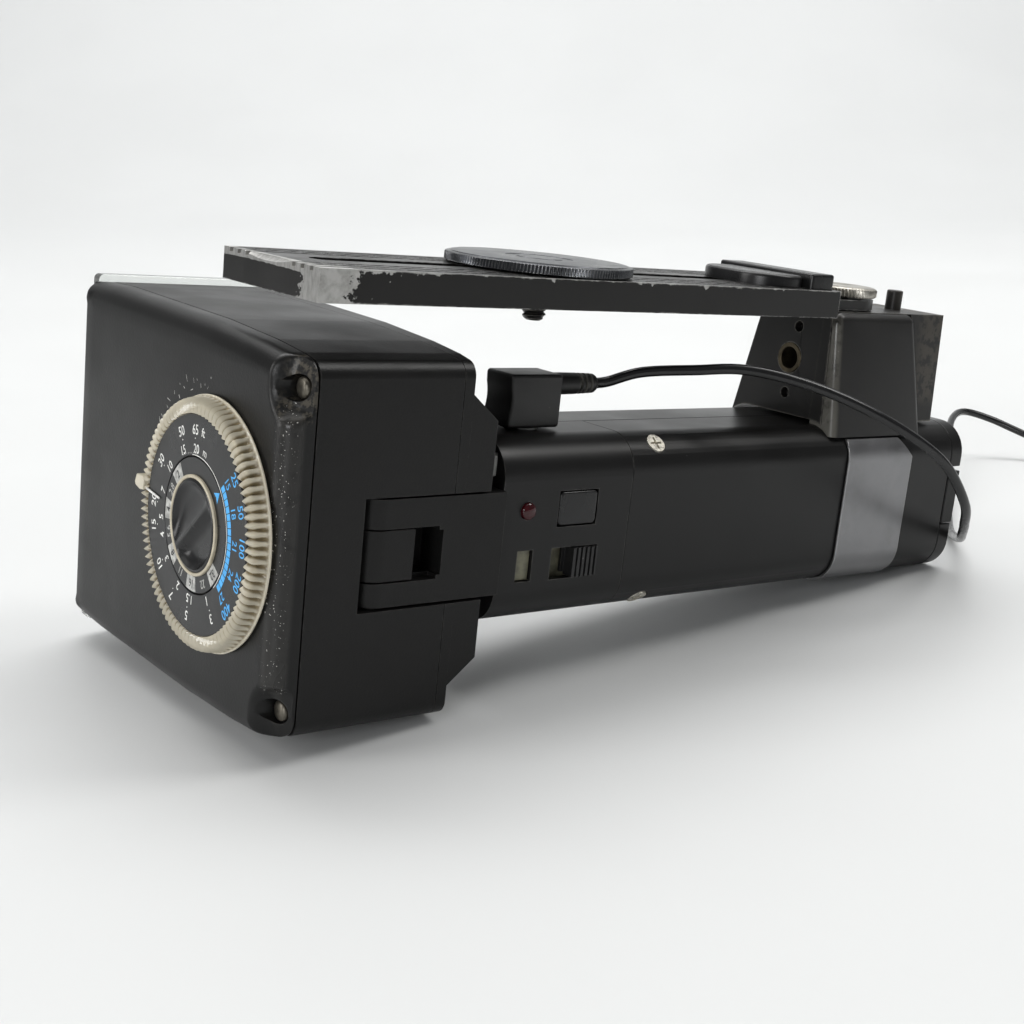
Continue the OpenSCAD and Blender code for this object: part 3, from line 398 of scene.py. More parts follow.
def makePiece(name, points, faces, body, look, replaces=(), sharp=32, place=None):
    mesh = bpy.data.meshes.new(name)
    move = ownAxes @ place if place is not None else ownAxes
    mesh.from_pydata([move @ Vector(p) for p in points], [], faces)
    mesh.validate()
    faceOutwards(mesh)
    return addObject(name, mesh, body, look, replaces, sharp)


# faces between rows of points: each row is a ring unless it's a strip, and a wrapped last row meets the first
def gridFaces(rows, count, first=0, wrap=False, strip=False):
    faces = []
    for i in range(rows if wrap else rows - 1):
        here, there = first + i * count, first + (i + 1) % rows * count
        for k in range(count - 1 if strip else count):
            n = (k + 1) % count
            faces.append((here + k, here + n, there + n, there + k))
    return faces


def endFaces(rows, count, first=0):
    last = first + (rows - 1) * count
    return [tuple(range(first, first + count))[::-1], tuple(range(last, last + count))]


def circle(radius, height, count):
    angles = [2 * pi * k / count for k in range(count)]
    return [(radius * cos(a), radius * sin(a), height) for a in angles]


def arc(x, y, radius, degrees):
    return [(x + radius * cos(radians(a)), y + radius * sin(radians(a))) for a in degrees]


def facing(x, y, z, normal):
    n = Vector(normal).normalized()
    return Matrix.Translation((x, y, z)) @ n.to_track_quat("Z", "Y").to_matrix().to_4x4()


# a turned piece: rows of radius, height and, where there are ribs, how far their grooves sink into the rim
def turned(name, rows, place, body, look, replaces=(), ribs=0, ribDepth=0.0, perRib=6, steps=96,
           sharp=32, closed=False):
    count = ribs * perRib if ribs else steps
    points = []
    for radius, height, *share in rows:
        for k in range(count):
            angle = 2 * pi * k / count
            sink = ribDepth * share[0] * abs(2 * (k % perRib) / perRib - 1) if share else 0
            points.append(((radius - sink) * cos(angle), (radius - sink) * sin(angle), height))
    faces = gridFaces(len(rows), count, wrap=closed)
    if not closed:
        ends = zip(endFaces(len(rows), count), (rows[0], rows[-1]))
        faces += [face for face, row in ends if row[0] > 0.01]
    return makePiece(name, points, faces, body, look, replaces, sharp, place)


# a closed outline pushed along one axis, its ends rounded over
def pillow(name, node, look, outline, axis, low, high, edge, flatLow=False):
    n = len(outline)
    pairs = zip(outline, outline[1:] + outline[:1])
    side = 1 if sum(a[0] * b[1] - b[0] * a[1] for a, b in pairs) > 0 else -1
    inward = []
    for i in range(n):
        run = (Vector(outline[(i + 1) % n]) - Vector(outline[i - 1])).normalized()
        inward.append(Vector((-run.y, run.x)) * side)
    angles = [radians(a) for a in range(0, 91, 18)]
    rows = [(0, low)] if flatLow else [(edge * (1 - sin(a)), low + edge * (1 - cos(a))) for a in angles]
    rows += [(edge * (1 - cos(a)), high - edge * (1 - sin(a))) for a in angles]
    points = []
    for inset, level in rows:
        for p, inn in zip(outline, inward):
            q = list(Vector(p) + inn * inset)
            points.append(q[:axis] + [level] + q[axis:])
    faces = gridFaces(len(rows), n) + endFaces(len(rows), n)
    return makePiece(name, points, faces, nodes[node]["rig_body"], look, (node,), sharp=40)


def roundedBox(x0, x1, y0, y1, corner, steps=6):
    left, right, near, far = x0 + corner, x1 - corner, y0 + corner, y1 - corner
    points = []
    for x, y, a in ((right, far, 0), (left, far, 90), (left, near, 180), (right, near, 270)):
        points += arc(x, y, corner, [a + 90 * k / steps for k in range(steps + 1)])
    return points


dressSettings = dict(weld=3e-6, flat=0.6, angle=34, weight=60)      # metres, degrees, degrees


def soften(piece, width, segments=2):
    bevel = piece.modifiers.new("soft edges", "BEVEL")
    bevel.width = width / 1000
    bevel.segments = segments
    bevel.limit_method = "ANGLE"
    bevel.angle_limit = radians(dressSettings["angle"])
    bevel.harden_normals = True
    bevel.use_clamp_overlap = True
    level = piece.modifiers.new("level faces", "WEIGHTED_NORMAL")
    level.keep_sharp = True
    level.weight = dressSettings["weight"]


# a node's own shape with its edges broken; long is the width for its long edges and the least length of those
def dressed(node, look, edge, segments=2, long=()):
    s = dressSettings
    mesh = nodes[node].data.copy()
    shape = bmesh.new()
    shape.from_mesh(mesh)
    bmesh.ops.remove_doubles(shape, verts=shape.verts, dist=s["weld"])
    bmesh.ops.dissolve_limit(shape, angle_limit=radians(s["flat"]), verts=shape.verts, edges=shape.edges)
    if long:
        width, least = long
        edges = [e for e in shape.edges if e.calc_length() > least / 1000 and len(e.link_faces) == 2
                 and e.is_convex and e.calc_face_angle(0) > radians(s["angle"])]
        bmesh.ops.bevel(shape, geom=edges, offset=width / 1000, offset_type="OFFSET", segments=4, profile=0.5,
                        affect="EDGES", clamp_overlap=True)
    shape.to_mesh(mesh)
    shape.free()
    piece = addObject(node + "_soft", mesh, nodes[node]["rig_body"], look, (node,))
    soften(piece, edge, segments)
    return piece


# cord first: the route of the part's source, counted from the plug
cordSettings = dict(
    diameter=2.9, shift=(-112.378, -59.064), reliefEnd=(96.4, 20.6, 35.3), steps=8,
    route=[(113.4, 15, 77.4), (127, 8.4, 77.3), (138.7, 1.4, 77), (151, -7.8, 73.4), (164, -15.8, 67.2),
           (178, -22.9, 58.4), (192, -26.8, 47.6), (203, -26.6, 34), (212, -20.6, 24.6), (222, -12.8, 17.8),
           (233, -4.6, 12.8), (243.6, 3.8, 8.8), (254, 12.4, 5), (264.6, 22.6, 2.6), (279, 34.5, 2.6),
           (296, 48, 5.5), (316, 63, 10.5), (336, 79, 16), (354, 91, 19.5), (368, 95.5, 19.5), (378, 90, 16),
           (384, 80, 11.5), (388, 69, 7.6), (392, 58, 4.6), (397, 48, 3.3)])


def smoothPoint(p, i, t):
    a, b, c, d = p[max(i - 1, 0)], p[i], p[i + 1], p[min(i + 2, len(p) - 1)]
    bend, twist = 2 * a - 5 * b + 4 * c - d, 3 * b - a - 3 * c + d
    return 0.5 * (2 * b + (c - a) * t + bend * t * t + twist * t ** 3)


def makeCord():
    s = cordSettings
    x, y, z = s["reliefEnd"]
    shiftX, shiftY = s["shift"]
    points = [ownAxes @ Vector(p) for p in ((x, y, z), (x + 5, y, z + 0.4))]
    points += [Vector((a + shiftX, b + shiftY, c)) / 1000 for a, b, c in s["route"]]
    line = [smoothPoint(points, i, k / s["steps"]) for i in range(len(points) - 1) for k in range(s["steps"])]
    line.append(points[-1])
    curve = bpy.data.curves.new("sync_cord_line", "CURVE")
    curve.dimensions = "3D"
    spline = curve.splines.new("POLY")
    spline.points.add(len(line) - 1)
    for point, place in zip(spline.points, line):
        point.co = (*place, 1)
    curve.bevel_depth = s["diameter"] / 2000
    curve.bevel_resolution = 5
    curve.use_fill_caps = True
    curve.materials.append(finishes["cord"])
    cord = placed("sync_cord_line", curve)
    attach(cord, "handle")
    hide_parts("sync_cord")
    return cord, points, sum((b - a).length for a, b in zip(line, line[1:]))


coaxialSettings = dict(
    away=(5, -10, 0), ribs=24, ribDepth=0.22,
    shell=[(1.5, 0.2), (1.9, 0.0), (1.95, 0.6), (2.15, 2.2), (2.15, 2.6), (2.0, 2.8), (2.0, 3.2), (2.35, 3.5),
           (2.45, 5.0), (2.25, 5.2), (2.25, 5.6), (2.6, 5.9), (2.75, 8.6), (2.9, 9.0), (3.15, 9.2, 0.2),
           (3.2, 9.6, 1), (3.2, 18.0, 1), (3.15, 18.6, 0.4), (2.7, 18.85), (1.9, 18.9), (1.8, 18.6)],
    tip=[(0.2, 15.2), (1.7, 15.2), (1.74, 19.0), (1.74, 22.6), (1.5, 23.2), (0.9, 23.3), (0.9, 22.0),
         (0.45, 22.0), (0.4, 23.4), (0.01, 23.5)])


def makeCoaxialPlug(end):
    s = coaxialSettings
    place = facing(*(toOwn @ end), toOwn.to_3x3() @ Vector(s["away"]).normalized())
    shell = turned("coaxial_plug_shell", s["shell"], place, "handle", "plug", ("coaxial_plug",),
                   ribs=s["ribs"], ribDepth=s["ribDepth"])
    metal = turned("coaxial_plug_tip", s["tip"], place, "handle", "screw", ("coaxial_tip",),
                   steps=40)
    return shell, metal


syncCord, cordPoints, cordLength = makeCord()
farShell, farTip = makeCoaxialPlug(cordPoints[-1])
print("cord laid, %.0f mm" % (cordLength * 1000))

# dial: clear ribbed ring, printed disc, small disc and scooped knob, all round one centre
dialSettings = dict(y=32.05, faceX=-8.35, plateX=-12.55, knobR=11.2, printLift=0.04)
towardsViewer = Matrix(((0, 0, -1, 0), (-1, 0, 0, 0), (0, 1, 0, 0), (0, 0, 0, 1)))   # right, up and out


def dialPlace(x):
    return Matrix.Translation((x, dialSettings["y"], 0)) @ towardsViewer


ringPlace = dialPlace(dialSettings["faceX"])
platePlace = dialPlace(dialSettings["plateX"])

# the ribs wrap over the ring's top like a crown wheel's teeth; a profile row is the crest's radius and
# height, then how far the groove lies inwards and down
ringSettings = dict(
    ribs=90, phases=(1.0, 0.66, 0.3, 0.04, 0.3, 0.66), pointerAngle=172.8, pointerZ=(1.6, 5.2),
    pointer=[(27.6, -1.3), (29.6, -1.9), (32.2, -1.5), (32.9, 0.9), (32.2, 1.7), (29.6, 1.9), (27.6, 1.3)],
    profile=[(9.3, 1.3, 0, 0), (9.3, 0.1, 0, 0), (30.6, 0.1, 0, 0), (30.95, 0.25, 0, 0), (30.95, 0.55, 0, 0),
             (30.7, 0.75, 0.05, 0), (30.6, 0.95, 0.35, 0), (30.55, 1.5, 1.0, 0), (30.5, 2.1, 1.4, 0),
             (30.4, 3.0, 1.55, 0.1), (30.25, 3.8, 1.6, 0.4), (29.9, 4.45, 1.65, 0.8), (29.4, 4.8, 1.6, 1.1),
             (28.7, 4.98, 1.3, 1.3), (27.8, 5.0, 0.8, 1.35), (27.0, 4.95, 0.35, 1.3), (26.55, 4.8, 0.05, 1.2),
             (26.45, 4.5, 0, 1.0), (26.45, 3.2, 0, 0), (26.45, 1.3, 0, 0)])


def compass(degrees):
    a = radians(degrees)
    return Vector((cos(a), sin(a), 0)), Vector((sin(a), -cos(a), 0))


def makeRing():
    s = ringSettings
    phases = s["phases"]
    count = s["ribs"] * len(phases)
    points = []
    for radius, height, inwards, down in s["profile"]:
        for k in range(count):
            share = phases[k % len(phases)]
            angle = 2 * pi * k / count
            r = radius - inwards * share
            points.append((r * cos(angle), r * sin(angle), height - down * share))
    makePiece("dial_ring_ribbed", points, gridFaces(len(s["profile"]), count, wrap=True), "ring", "ringClear",
              ("dial_ring",), sharp=24, place=ringPlace)
    out, side = compass(s["pointerAngle"])
    points = [out * r - side * w + Vector((0, 0, z)) for z in s["pointerZ"] for r, w in s["pointer"]]
    n = len(s["pointer"])
    faces = endFaces(2, n) + gridFaces(2, n)
    nub = makePiece("dial_pointer", points, faces, "ring", "ringClear", place=ringPlace)
    soften(nub, 0.35)


# (piece, node, body, look, slot, where it stands on X, steps, profile)
discs = [
    ("scale_disc_printed", "scale_disc", "ring", "scale", "scale_black", -9.85, 160,
     [(16.55, 0), (26.35, 0), (26.35, 2.55), (26.2, 2.7), (16.67, 2.7), (16.55, 2.58)]),
    ("aperture_disc_printed", "aperture_disc", "knob", "scale", "scale_black", -11.2, 128,
     [(11.3, 0), (16.2, 0), (16.2, 1.25), (16.1, 1.35), (11.4, 1.35), (11.3, 1.25)]),
    ("knob_collar_cream", "knob_collar", "knob", "cream", "cream", -12.55, 96,
     [(11.28, 0), (12.1, 0), (12.1, 0.5), (11.95, 0.68), (11.45, 0.68), (11.28, 0.5)])]

# the knob's top: two scoops leave a slanted grip across it
knobSettings = dict(rim=0.7, scoop=2.1, gripAngle=42, gripHalf=0.35, fall=7.0, top=0.75, base=2.5, rings=30,
                    steps=144, spindle=3.7, foot=8.4, rimDrop=0.3, rimSlope=3.0, crown=0.05, farShare=0.72,
                    nearFall=0.45, swell=2.2, crowd=0.85)


def knobHeight(u, v):
    k = knobSettings
    a = radians(k["gripAngle"])
    across = -u * sin(a) + v * cos(a)
    out = hypot(u, v)
    inner = dialSettings["knobR"] - k["rim"]
    if out >= inner:
        return k["top"] - k["rimDrop"] * ((out - inner) / k["rim"]) ** 2
    edge = min(1, (inner - out) / k["rimSlope"])
    fall, share = (k["fall"], k["farShare"]) if across > 0 else (k["fall"] * k["nearFall"], 1)
    rise = min(1, max(0, (abs(across) - k["gripHalf"]) / fall))
    hollow = sin(rise * pi / 2) * (1 - (1 - edge) ** k["swell"])
    return k["top"] - k["crown"] * edge - k["scoop"] * hollow * share


def makeKnob():
    k, r = knobSettings, dialSettings["knobR"]
    n = k["steps"]
    points = [(0, 0, knobHeight(0, 0))]
    for i in range(1, k["rings"] + 1):
        points += [(u, v, knobHeight(u, v)) for u, v, _ in circle(r * (i / k["rings"]) ** k["crowd"], 0, n)]
    for out, low in ((r, -k["base"]), (k["spindle"], -k["base"]), (k["spindle"], -k["foot"])):
        points += circle(out, low, n)
    rows = k["rings"] + 3
    faces = [(0, 1 + j, 1 + (j + 1) % n) for j in range(n)]
    faces += gridFaces(rows, n, first=1) + endFaces(rows, n, first=1)[1:]
    makePiece("dial_knob_scooped", points, faces, "knob", "smooth", ("dial_knob",), sharp=40,
              place=platePlace)


# printed marks: every number of one ink is a single thin piece; marks are (text, degrees)
scaleMarks = dict(
    outer=dict(radius=22.8, size=3.4, marks=[("65", 95), ("50", 114), ("30", 149.5), ("20", 178),
                                             ("15", 193.5), ("10", 218.5), ("7", 242.5), ("5", 266),
                                             ("3", 300)]),
    inner=dict(radius=18.3, size=3.1, marks=[("20", 93), ("15", 115), ("10", 142.5), ("7", 166), ("5", 187.5),
                                             ("4", 201.5), ("3", 220.5), ("2", 247.5), ("1.5", 268),
                                             ("1", 298)]),
    feet=dict(radius=22.8, size=3.0, marks=[("ft", 84.5)]),
    metres=dict(radius=18.2, size=2.8, marks=[("m", 79)]),
    filmInner=dict(radius=20.75, size=3.0, marks=[("15", 40.5), ("18", 21), ("21", 1.3), ("24", -19),
                                                  ("27", -40)]),
    filmOuter=dict(radius=24.3, size=3.5, marks=[("25", 39), ("50", 21), ("100", 1.5), ("200", -18.5),
                                                 ("400", -40)]),
    stopsDark=dict(radius=14.2, size=2.9, marks=[("2", 133.8), ("4", 178), ("8", 222), ("16", 270),
                                                 ("32", 319.5)]),
    stopsPale=dict(radius=14.2, size=2.9, marks=[("2.8", 156), ("5.6", 200), ("11", 245.5), ("22", 295.5)]))

# bars and boxes are (from radius, to radius, from degrees, to degrees)
barSettings = dict(
    darkLift=0.09, dot=(20.55, 20.85, 0.5), arc=(16.62, 16.85, 100, -46), fine=(17.0, 17.3, 0.25),
    fineAt=range(92, 118, 3),
    block=(17.3, 19.0), blockFrom=43.5, blockTo=-40, blockWide=4.7, blockStep=5.3, box=(12.35, 16.0, 9.5),
    pointer=dict(angle=41.5, tip=16.1, back=13.5, notch=14.0, half=1.5),
    needle=dict(angle=174, reach=(28.6, 19.3), half=0.24, levels=(0.5, 0.2)))


def numberShape(text, size):
    curve = bpy.data.curves.new("number", "FONT")
    curve.body, curve.size, curve.resolution_u, curve.offset = text, size, 3, 0.035
    helper = placed("number", curve)
    bpy.context.view_layer.update()
    mesh = helper.to_mesh()
    points = [v.co.copy() for v in mesh.vertices]
    faces = [tuple(f.vertices) for f in mesh.polygons]
    helper.to_mesh_clear()
    bpy.data.objects.remove(helper)
    bpy.data.curves.remove(curve)
    middle = Vector([(min(p[i] for p in points) + max(p[i] for p in points)) / 2 for i in range(3)])
    return [p - middle for p in points], faces


def printed(name, groups, body, look, bars=(), wide=0.95, lift=dialSettings["printLift"]):
    points, faces = [], []
    for group in groups:
        for text, degrees in scaleMarks[group]["marks"]:
            shape, parts = numberShape(text, scaleMarks[group]["size"])
            out, side = compass(degrees)
            base, radius = len(points), scaleMarks[group]["radius"]
            points += [out * (radius + p.y) + side * p.x * wide + Vector((0, 0, lift)) for p in shape]
            faces += [tuple(base + i for i in f) for f in parts]
    for fromR, toR, fromDegrees, toDegrees in bars:
        steps = max(2, int(abs(toDegrees - fromDegrees) / 2.5) + 1)
        faces += gridFaces(steps, 2, first=len(points), strip=True)
        for i in range(steps):
            out, _ = compass(fromDegrees + (toDegrees - fromDegrees) * i / (steps - 1))
            points += [out * r + Vector((0, 0, lift)) for r in (fromR, toR)]
    makePiece(name, points, faces, body, look, place=platePlace)


def barsAt(low, high, half, degrees):
    return [(low, high, a - half, a + half) for a in degrees]


def makePrint():
    s = barSettings
    bars = barsAt(*s["dot"], [a for _, a in scaleMarks["outer"]["marks"]]) + [s["arc"]]
    bars += barsAt(*s["fine"], s["fineAt"])
    printed("scale_numbers_pale", ("outer", "inner", "feet", "metres"), "ring", "paintLight", bars)
    blocks, edge = [], s["blockFrom"]
    while edge > s["blockTo"]:
        blocks.append((*s["block"], edge, edge - s["blockWide"]))
        edge -= s["blockStep"]
    printed("scale_numbers_blue", ("filmInner", "filmOuter"), "ring", "paintBlue", blocks)
    boxes = barsAt(*s["box"], [a for _, a in scaleMarks["stopsDark"]["marks"]])
    printed("stop_numbers_pale", ("stopsPale",), "knob", "paintDim", boxes, wide=0.85)
    printed("stop_numbers_dark", ("stopsDark",), "knob", "scale", wide=0.85, lift=s["darkLift"])
    p = s["pointer"]
    out, side = compass(p["angle"])
    up = Vector((0, 0, dialSettings["printLift"]))
    wing = side * p["half"]
    points = [out * p["tip"], out * p["back"] + wing, out * p["notch"], out * p["back"] - wing]
    makePiece("stop_pointer", [point + up for point in points], [(0, 1, 2), (0, 2, 3)], "knob", "paintBlue",
              place=platePlace)
    p = s["needle"]
    out, side = compass(p["angle"])
    points = [out * r + side * p["half"] * way + Vector((0, 0, z)) for z in p["levels"] for r, way in
              ((p["reach"][0], -1), (p["reach"][0], 1), (p["reach"][1], 1), (p["reach"][1], -1))]
    makePiece("ring_needle", points, endFaces(2, 4) + gridFaces(2, 4), "ring", "paintLight",
              place=platePlace)


makeRing()
for piece, node, body, look, slot, x, steps, profile in discs:
    turned(piece, profile, dialPlace(x), body, look, (node,), steps=steps, closed=True)
makeKnob()
makePrint()
print("dial built")

# dial cover: a lid with round shoulders and a scooped corner round each sunk screw
coverSettings = dict(
    face=-8.0, seam=-0.42, shoulder=5.0, corner=5.0, endCorner=3.0, length=117.5, lip=-4.75, lipFrom=113.8,
    widths=[(0, 43.8), (8, 45.1), (20, 46.2), (44, 47.4), (100, 48), (117.5, 47.5)],
    scoopY=0.6, scoopZ=38.0, scoopR=8.0, scoopWall=3.2, floor=-5.3, holeY=3.9, holeZ=37.9, holeR=3.1,
    holeFloor=-1.1, scoopRun=0.3, floorBack=6.5, floorRise=0.62, sideRise=0.3, holeSteps=40, margin=5.2,
    fineEdge=16, fineStep=0.7, coarseStep=2.6, fineBack=13, fineSide=26, fineGrid=0.6, coarseGrid=(4.4, 5),
    insets=(0.08, 0.25, 0.5, 0.85, 1.3, 1.8, 2.4, 3.1, 3.8, 4.5))
sunkScrewRows = [(1.4, -1.6), (2.45, -1.1), (2.55, -0.3), (2.3, 0.15), (1.7, 0.42), (0.9, 0.55), (0.01, 0.58)]


def coverWidth(y):
    w = coverSettings["widths"]
    for (a, wa), (b, wb) in zip(w, w[1:]):
        if y <= b:
            return wa + (wb - wa) * (y - a) / (b - a)
    return w[-1][1]


def eased(value, low, high):
    t = min(1, max(0, (value - low) / (high - low)))
    return t * t * (3 - 2 * t)


def coverHeight(y, z, inset):
    s = coverSettings
    r = s["shoulder"]
    x = s["face"] + (0 if inset >= r else r - sqrt(max(0, r * r - (r - inset) ** 2)))
    dy, dz = max(y - s["scoopY"], 0), abs(z) - s["scoopZ"]
    away = hypot(dy, dz if dz < 0 else dz * s["scoopRun"])    # the scoop runs out over the back and the side
    floor = s["floor"] + s["floorRise"] * max(0, s["floorBack"] - y) + s["sideRise"] * max(0, dz)
    if floor > x:
        x += (floor - x) * (1 - eased(away, s["scoopR"] - s["scoopWall"], s["scoopR"]))
    if hypot(y - s["holeY"], abs(z) - s["holeZ"]) < s["holeR"] - 0.02:
        x = max(x, s["holeFloor"])
    return min(x, s["seam"] - 0.05)


# half the lid's outline, from the middle of the back to the middle of the window's side
def coverOutline():
    s = coverSettings
    c, length, end = s["corner"], s["length"], s["endCorner"]
    back, front = coverWidth(0), coverWidth(s["length"])
    half = [(0.0, k * (back - c) / 44) for k in range(45)]
    for a in range(8, 89, 8):
        half.append((c - c * cos(radians(a)), back - c + (c + coverWidth(c) - back) * sin(radians(a))))
    y = c + s["fineStep"]
    while y < length - 3.5:
        half.append((y, coverWidth(y)))
        y += s["fineStep"] if y < s["fineEdge"] else s["coarseStep"]
    half += arc(length - end, front - end, end, range(90, -1, -15))
    z = front - 6
    while z > 0.5:
        half.append((length, z))
        z -= 3
    return half


def makeCover():
    s = coverSettings
    half = coverOutline()
    loop = half + [(y, -z) for y, z in half[::-1] if z > 0.01]
    count = len(loop)
    holes = [Vector((s["holeY"], side * s["holeZ"])) for side in (-1, 1)]
    insetOf, flat = [], []

    def put(y, z, inset):
        insetOf.append(inset)
        flat.append(Vector((y, z)))

    def putFree(p, inset):
        gaps = [(p - hole).length for hole in holes]
        if all(gap > s["holeR"] + 0.22 or gap < s["holeR"] - 0.4 for gap in gaps):
            put(p.x, p.y, inset)

    for y, z in loop:
        put(y, z, 0)
    normals = []
    for i in range(count):
        run = (Vector(loop[(i + 1) % count]) - Vector(loop[i - 1])).normalized()
        normal = Vector((-run.y, run.x))
        inwards = Vector((s["length"] / 2, 0)) - Vector(loop[i])
        normals.append(normal if normal.dot(inwards) > 0 else -normal)
    for inset in s["insets"]:
        for place, normal in zip(loop, normals):
            putFree(Vector(place) + normal * inset, inset)
    # a fine grid in the scooped corners, a coarse one elsewhere
    y = s["margin"]
    while y < s["length"] - s["margin"]:
        near = y < s["fineBack"]
        z = 0.0
        while z < coverWidth(y) - s["margin"]:
            for sign in ((-1, 1) if z else (1,)):
                putFree(Vector((y, z * sign)), 9)
            z += s["fineGrid"] if near and z > s["fineSide"] else s["coarseGrid"][0]
        y += s["fineGrid"] if near else s["coarseGrid"][1]
    edges = [(i, (i + 1) % count) for i in range(count)]
    n = s["holeSteps"]
    for hole in holes:
        for radius in (s["holeR"], s["holeR"] - 0.05):
            first = len(flat)
            for dy, dz, _ in circle(radius, 0, n):
                y, z = hole.x + dy, hole.y + dz
                put(y, z, max(0.05, min(y, coverWidth(y) - abs(z))))
            edges += [(first + k, first + (k + 1) % n) for k in range(n)]
    places, _, faces, sources, _, _ = delaunay_2d_cdt(flat, edges, [], 1, 1e-5)
    points, where = [], {}
    for index, (place, source) in enumerate(zip(places, sources)):
        inset = min([insetOf[i] for i in source] or [9])
        points.append((coverHeight(place.x, place.y, inset), place.x, place.y))
        where.update({i: index for i in source})
    # the skirt down to the seam; at the window it stops above the clear plate
    base = len(points)
    points += [(s["lip"] if y > s["lipFrom"] else s["seam"], y, z) for y, z in loop]
    faces = [tuple(f) for f in faces]
    faces += [(where[i], where[(i + 1) % count], base + (i + 1) % count, base + i) for i in range(count)]
    makePiece("dial_cover_moulded", points, faces, "head", "coverShell", ("dial_cover",),
              sharp=42)
    for word, side, replaced in (("lower", -1, ()), ("upper", 1, ("cover_screws",))):
        place = facing(-2.3, s["holeY"], side * s["holeZ"], (-1, 0, 0))
        turned("sunk_screw_" + word, sunkScrewRows, place, "head", "sunkScrew", replaced,
               steps=40, sharp=50)


# faint remains of a rubbed-off scale round the ring's upper left
traceSettings = dict(count=34, fromAngle=98, toAngle=196, radius=35.5, spread=3.4, lift=-8.03)


def makeTraces():
    s = traceSettings
    points = []
    for i in range(s["count"]):
        share = i / (s["count"] - 1)
        a = radians(s["fromAngle"] + (s["toAngle"] - s["fromAngle"]) * share + random.uniform(-0.8, 0.8))
        r = s["radius"] + random.choice((-1, -0.4, 0.5, 1)) * s["spread"] * random.uniform(0.3, 1)
        long, thick = random.uniform(0.4, 1.9), random.uniform(0.05, 0.13)
        lean = random.choice((0, 0, 0.5, -0.6, 1.5))
        run = Vector((cos(a + lean), sin(a + lean)))
        cross = Vector((-run.y, run.x))
        for along, across in ((-1, -1), (1, -1), (1, 1), (-1, 1)):
            p = Vector((cos(a), sin(a))) * r + run * along * long / 2 + cross * across * thick
            points.append((s["lift"], dialSettings["y"] - p.x, p.y))
    faces = [tuple(range(4 * i, 4 * i + 4)) for i in range(s["count"])]
    makePiece("cover_print_traces", points, faces, "head", "paintDim")


makeCover()
makeTraces()
print("dial cover built")

# camera plate: ribbed bar with a slot, its end scooped and its paint chipped off along the edges
plateSettings = dict(edge=0.45, scoop=(-2.4, 28, 66.2), scoopSize=(4.6, 17, 3.6), across=40, down=20)


def ellipsoid(centre, size, across, down):
    points = []
    for i in range(1, down):
        points += circle(sin(pi * i / down), cos(pi * i / down), across)
    points += [(0, 0, 1), (0, 0, -1)]
    top, low, last = len(points) - 2, len(points) - 1, (down - 2) * across
    faces = gridFaces(down - 1, across)
    faces += [(top, (j + 1) % across, j) for j in range(across)]
    faces += [(low, last + j, last + (j + 1) % across) for j in range(across)]
    return [tuple(c + s * v for c, s, v in zip(centre, size, p)) for p in points], faces


# cuts before the piece's own modifiers, which stay
def cutAway(piece, points, faces):
    mesh = bpy.data.meshes.new("cutter")
    mesh.from_pydata([ownAxes @ Vector(p) for p in points], [], faces)
    faceOutwards(mesh)
    cutter = placed("cutter", mesh)
    later = list(piece.modifiers)
    for modifier in later:
        modifier.show_viewport = False
    step = piece.modifiers.new("cut", "BOOLEAN")
    step.operation, step.object, step.solver = "DIFFERENCE", cutter, "EXACT"
    bpy.context.view_layer.update()
    done = bpy.data.meshes.new_from_object(piece.evaluated_get(bpy.context.evaluated_depsgraph_get()))
    piece.modifiers.remove(step)
    for modifier in later:
        modifier.show_viewport = True
    piece.data = done
    bpy.data.objects.remove(cutter)


plateBar = dressed("camera_plate", "plate", plateSettings["edge"], 3)
cutAway(plateBar, *ellipsoid(plateSettings["scoop"], plateSettings["scoopSize"], plateSettings["across"],
                             plateSettings["down"]))
print("camera plate built")

# knurled wheels, and the screw with its thread
wheelSettings = dict(
    camX=78.3, camY=26.7, camZ=64.7, clampX=192.5, clampY=22.5, clampZ=61.5,
    camera=[(22.5, 0), (24.2, 0.02), (24.58, 0.25, 0.3), (24.7, 0.5, 1), (24.7, 2.0, 1), (24.58, 2.25, 0.3),
            (24.3, 2.42), (23.4, 2.5), (23.2, 2.72), (22.8, 2.8), (9.0, 2.8), (8.8, 2.62), (6.2, 2.62),
            (6.0, 2.8), (0.01, 2.8)],
    clamp=[(5.2, 0.05), (10.1, 0.05), (10.5, 0.2, 0.2), (11, 0.6, 1), (11, 2.3, 1), (10.7, 2.65, 0.3),
           (10.2, 2.95), (9.4, 3.15), (8, 3.25), (3.4, 3.28), (3.1, 3.1), (0.01, 3.1)],
    slot=[(-5, -0.55), (5, -0.55), (5, 0.55), (-5, 0.55)], slotZ=(67.13, 67.145))


def makeWheels():
    s = wheelSettings
    x, y = s["camX"], s["camY"]
    turned("camera_wheel_knurled", s["camera"], facing(x, y, s["camZ"], (0, 0, 1)), "screw", "wheelDark",
           ("camera_wheel",), ribs=170, ribDepth=0.42, perRib=4, sharp=30)
    slot = [(x + dx, y + dy, z) for z in s["slotZ"] for dx, dy in s["slot"]]
    makePiece("camera_wheel_slot", slot, endFaces(2, 4) + gridFaces(2, 4), "screw", "thread")
    place = facing(s["clampX"], s["clampY"], s["clampZ"], (0, 0, 1))
    turned("clamp_wheel_knurled", s["clamp"], place, "clamp", "wheelLight", ("clamp_wheel",),
           ribs=64, ribDepth=0.55, sharp=34)


threadSettings = dict(radius=3.175, core=2.55, pitch=1.27, low=51.3, high=56.9, top=66.5, steps=36, lead=0.2,
                      runIn=0.7, tip=1.9, tipDrop=0.15, tipHeight=0.45,
                      profile=[(0.0, 0), (0.5, 1), (0.62, 1), (1.0, 0)])       # along the pitch, how far out


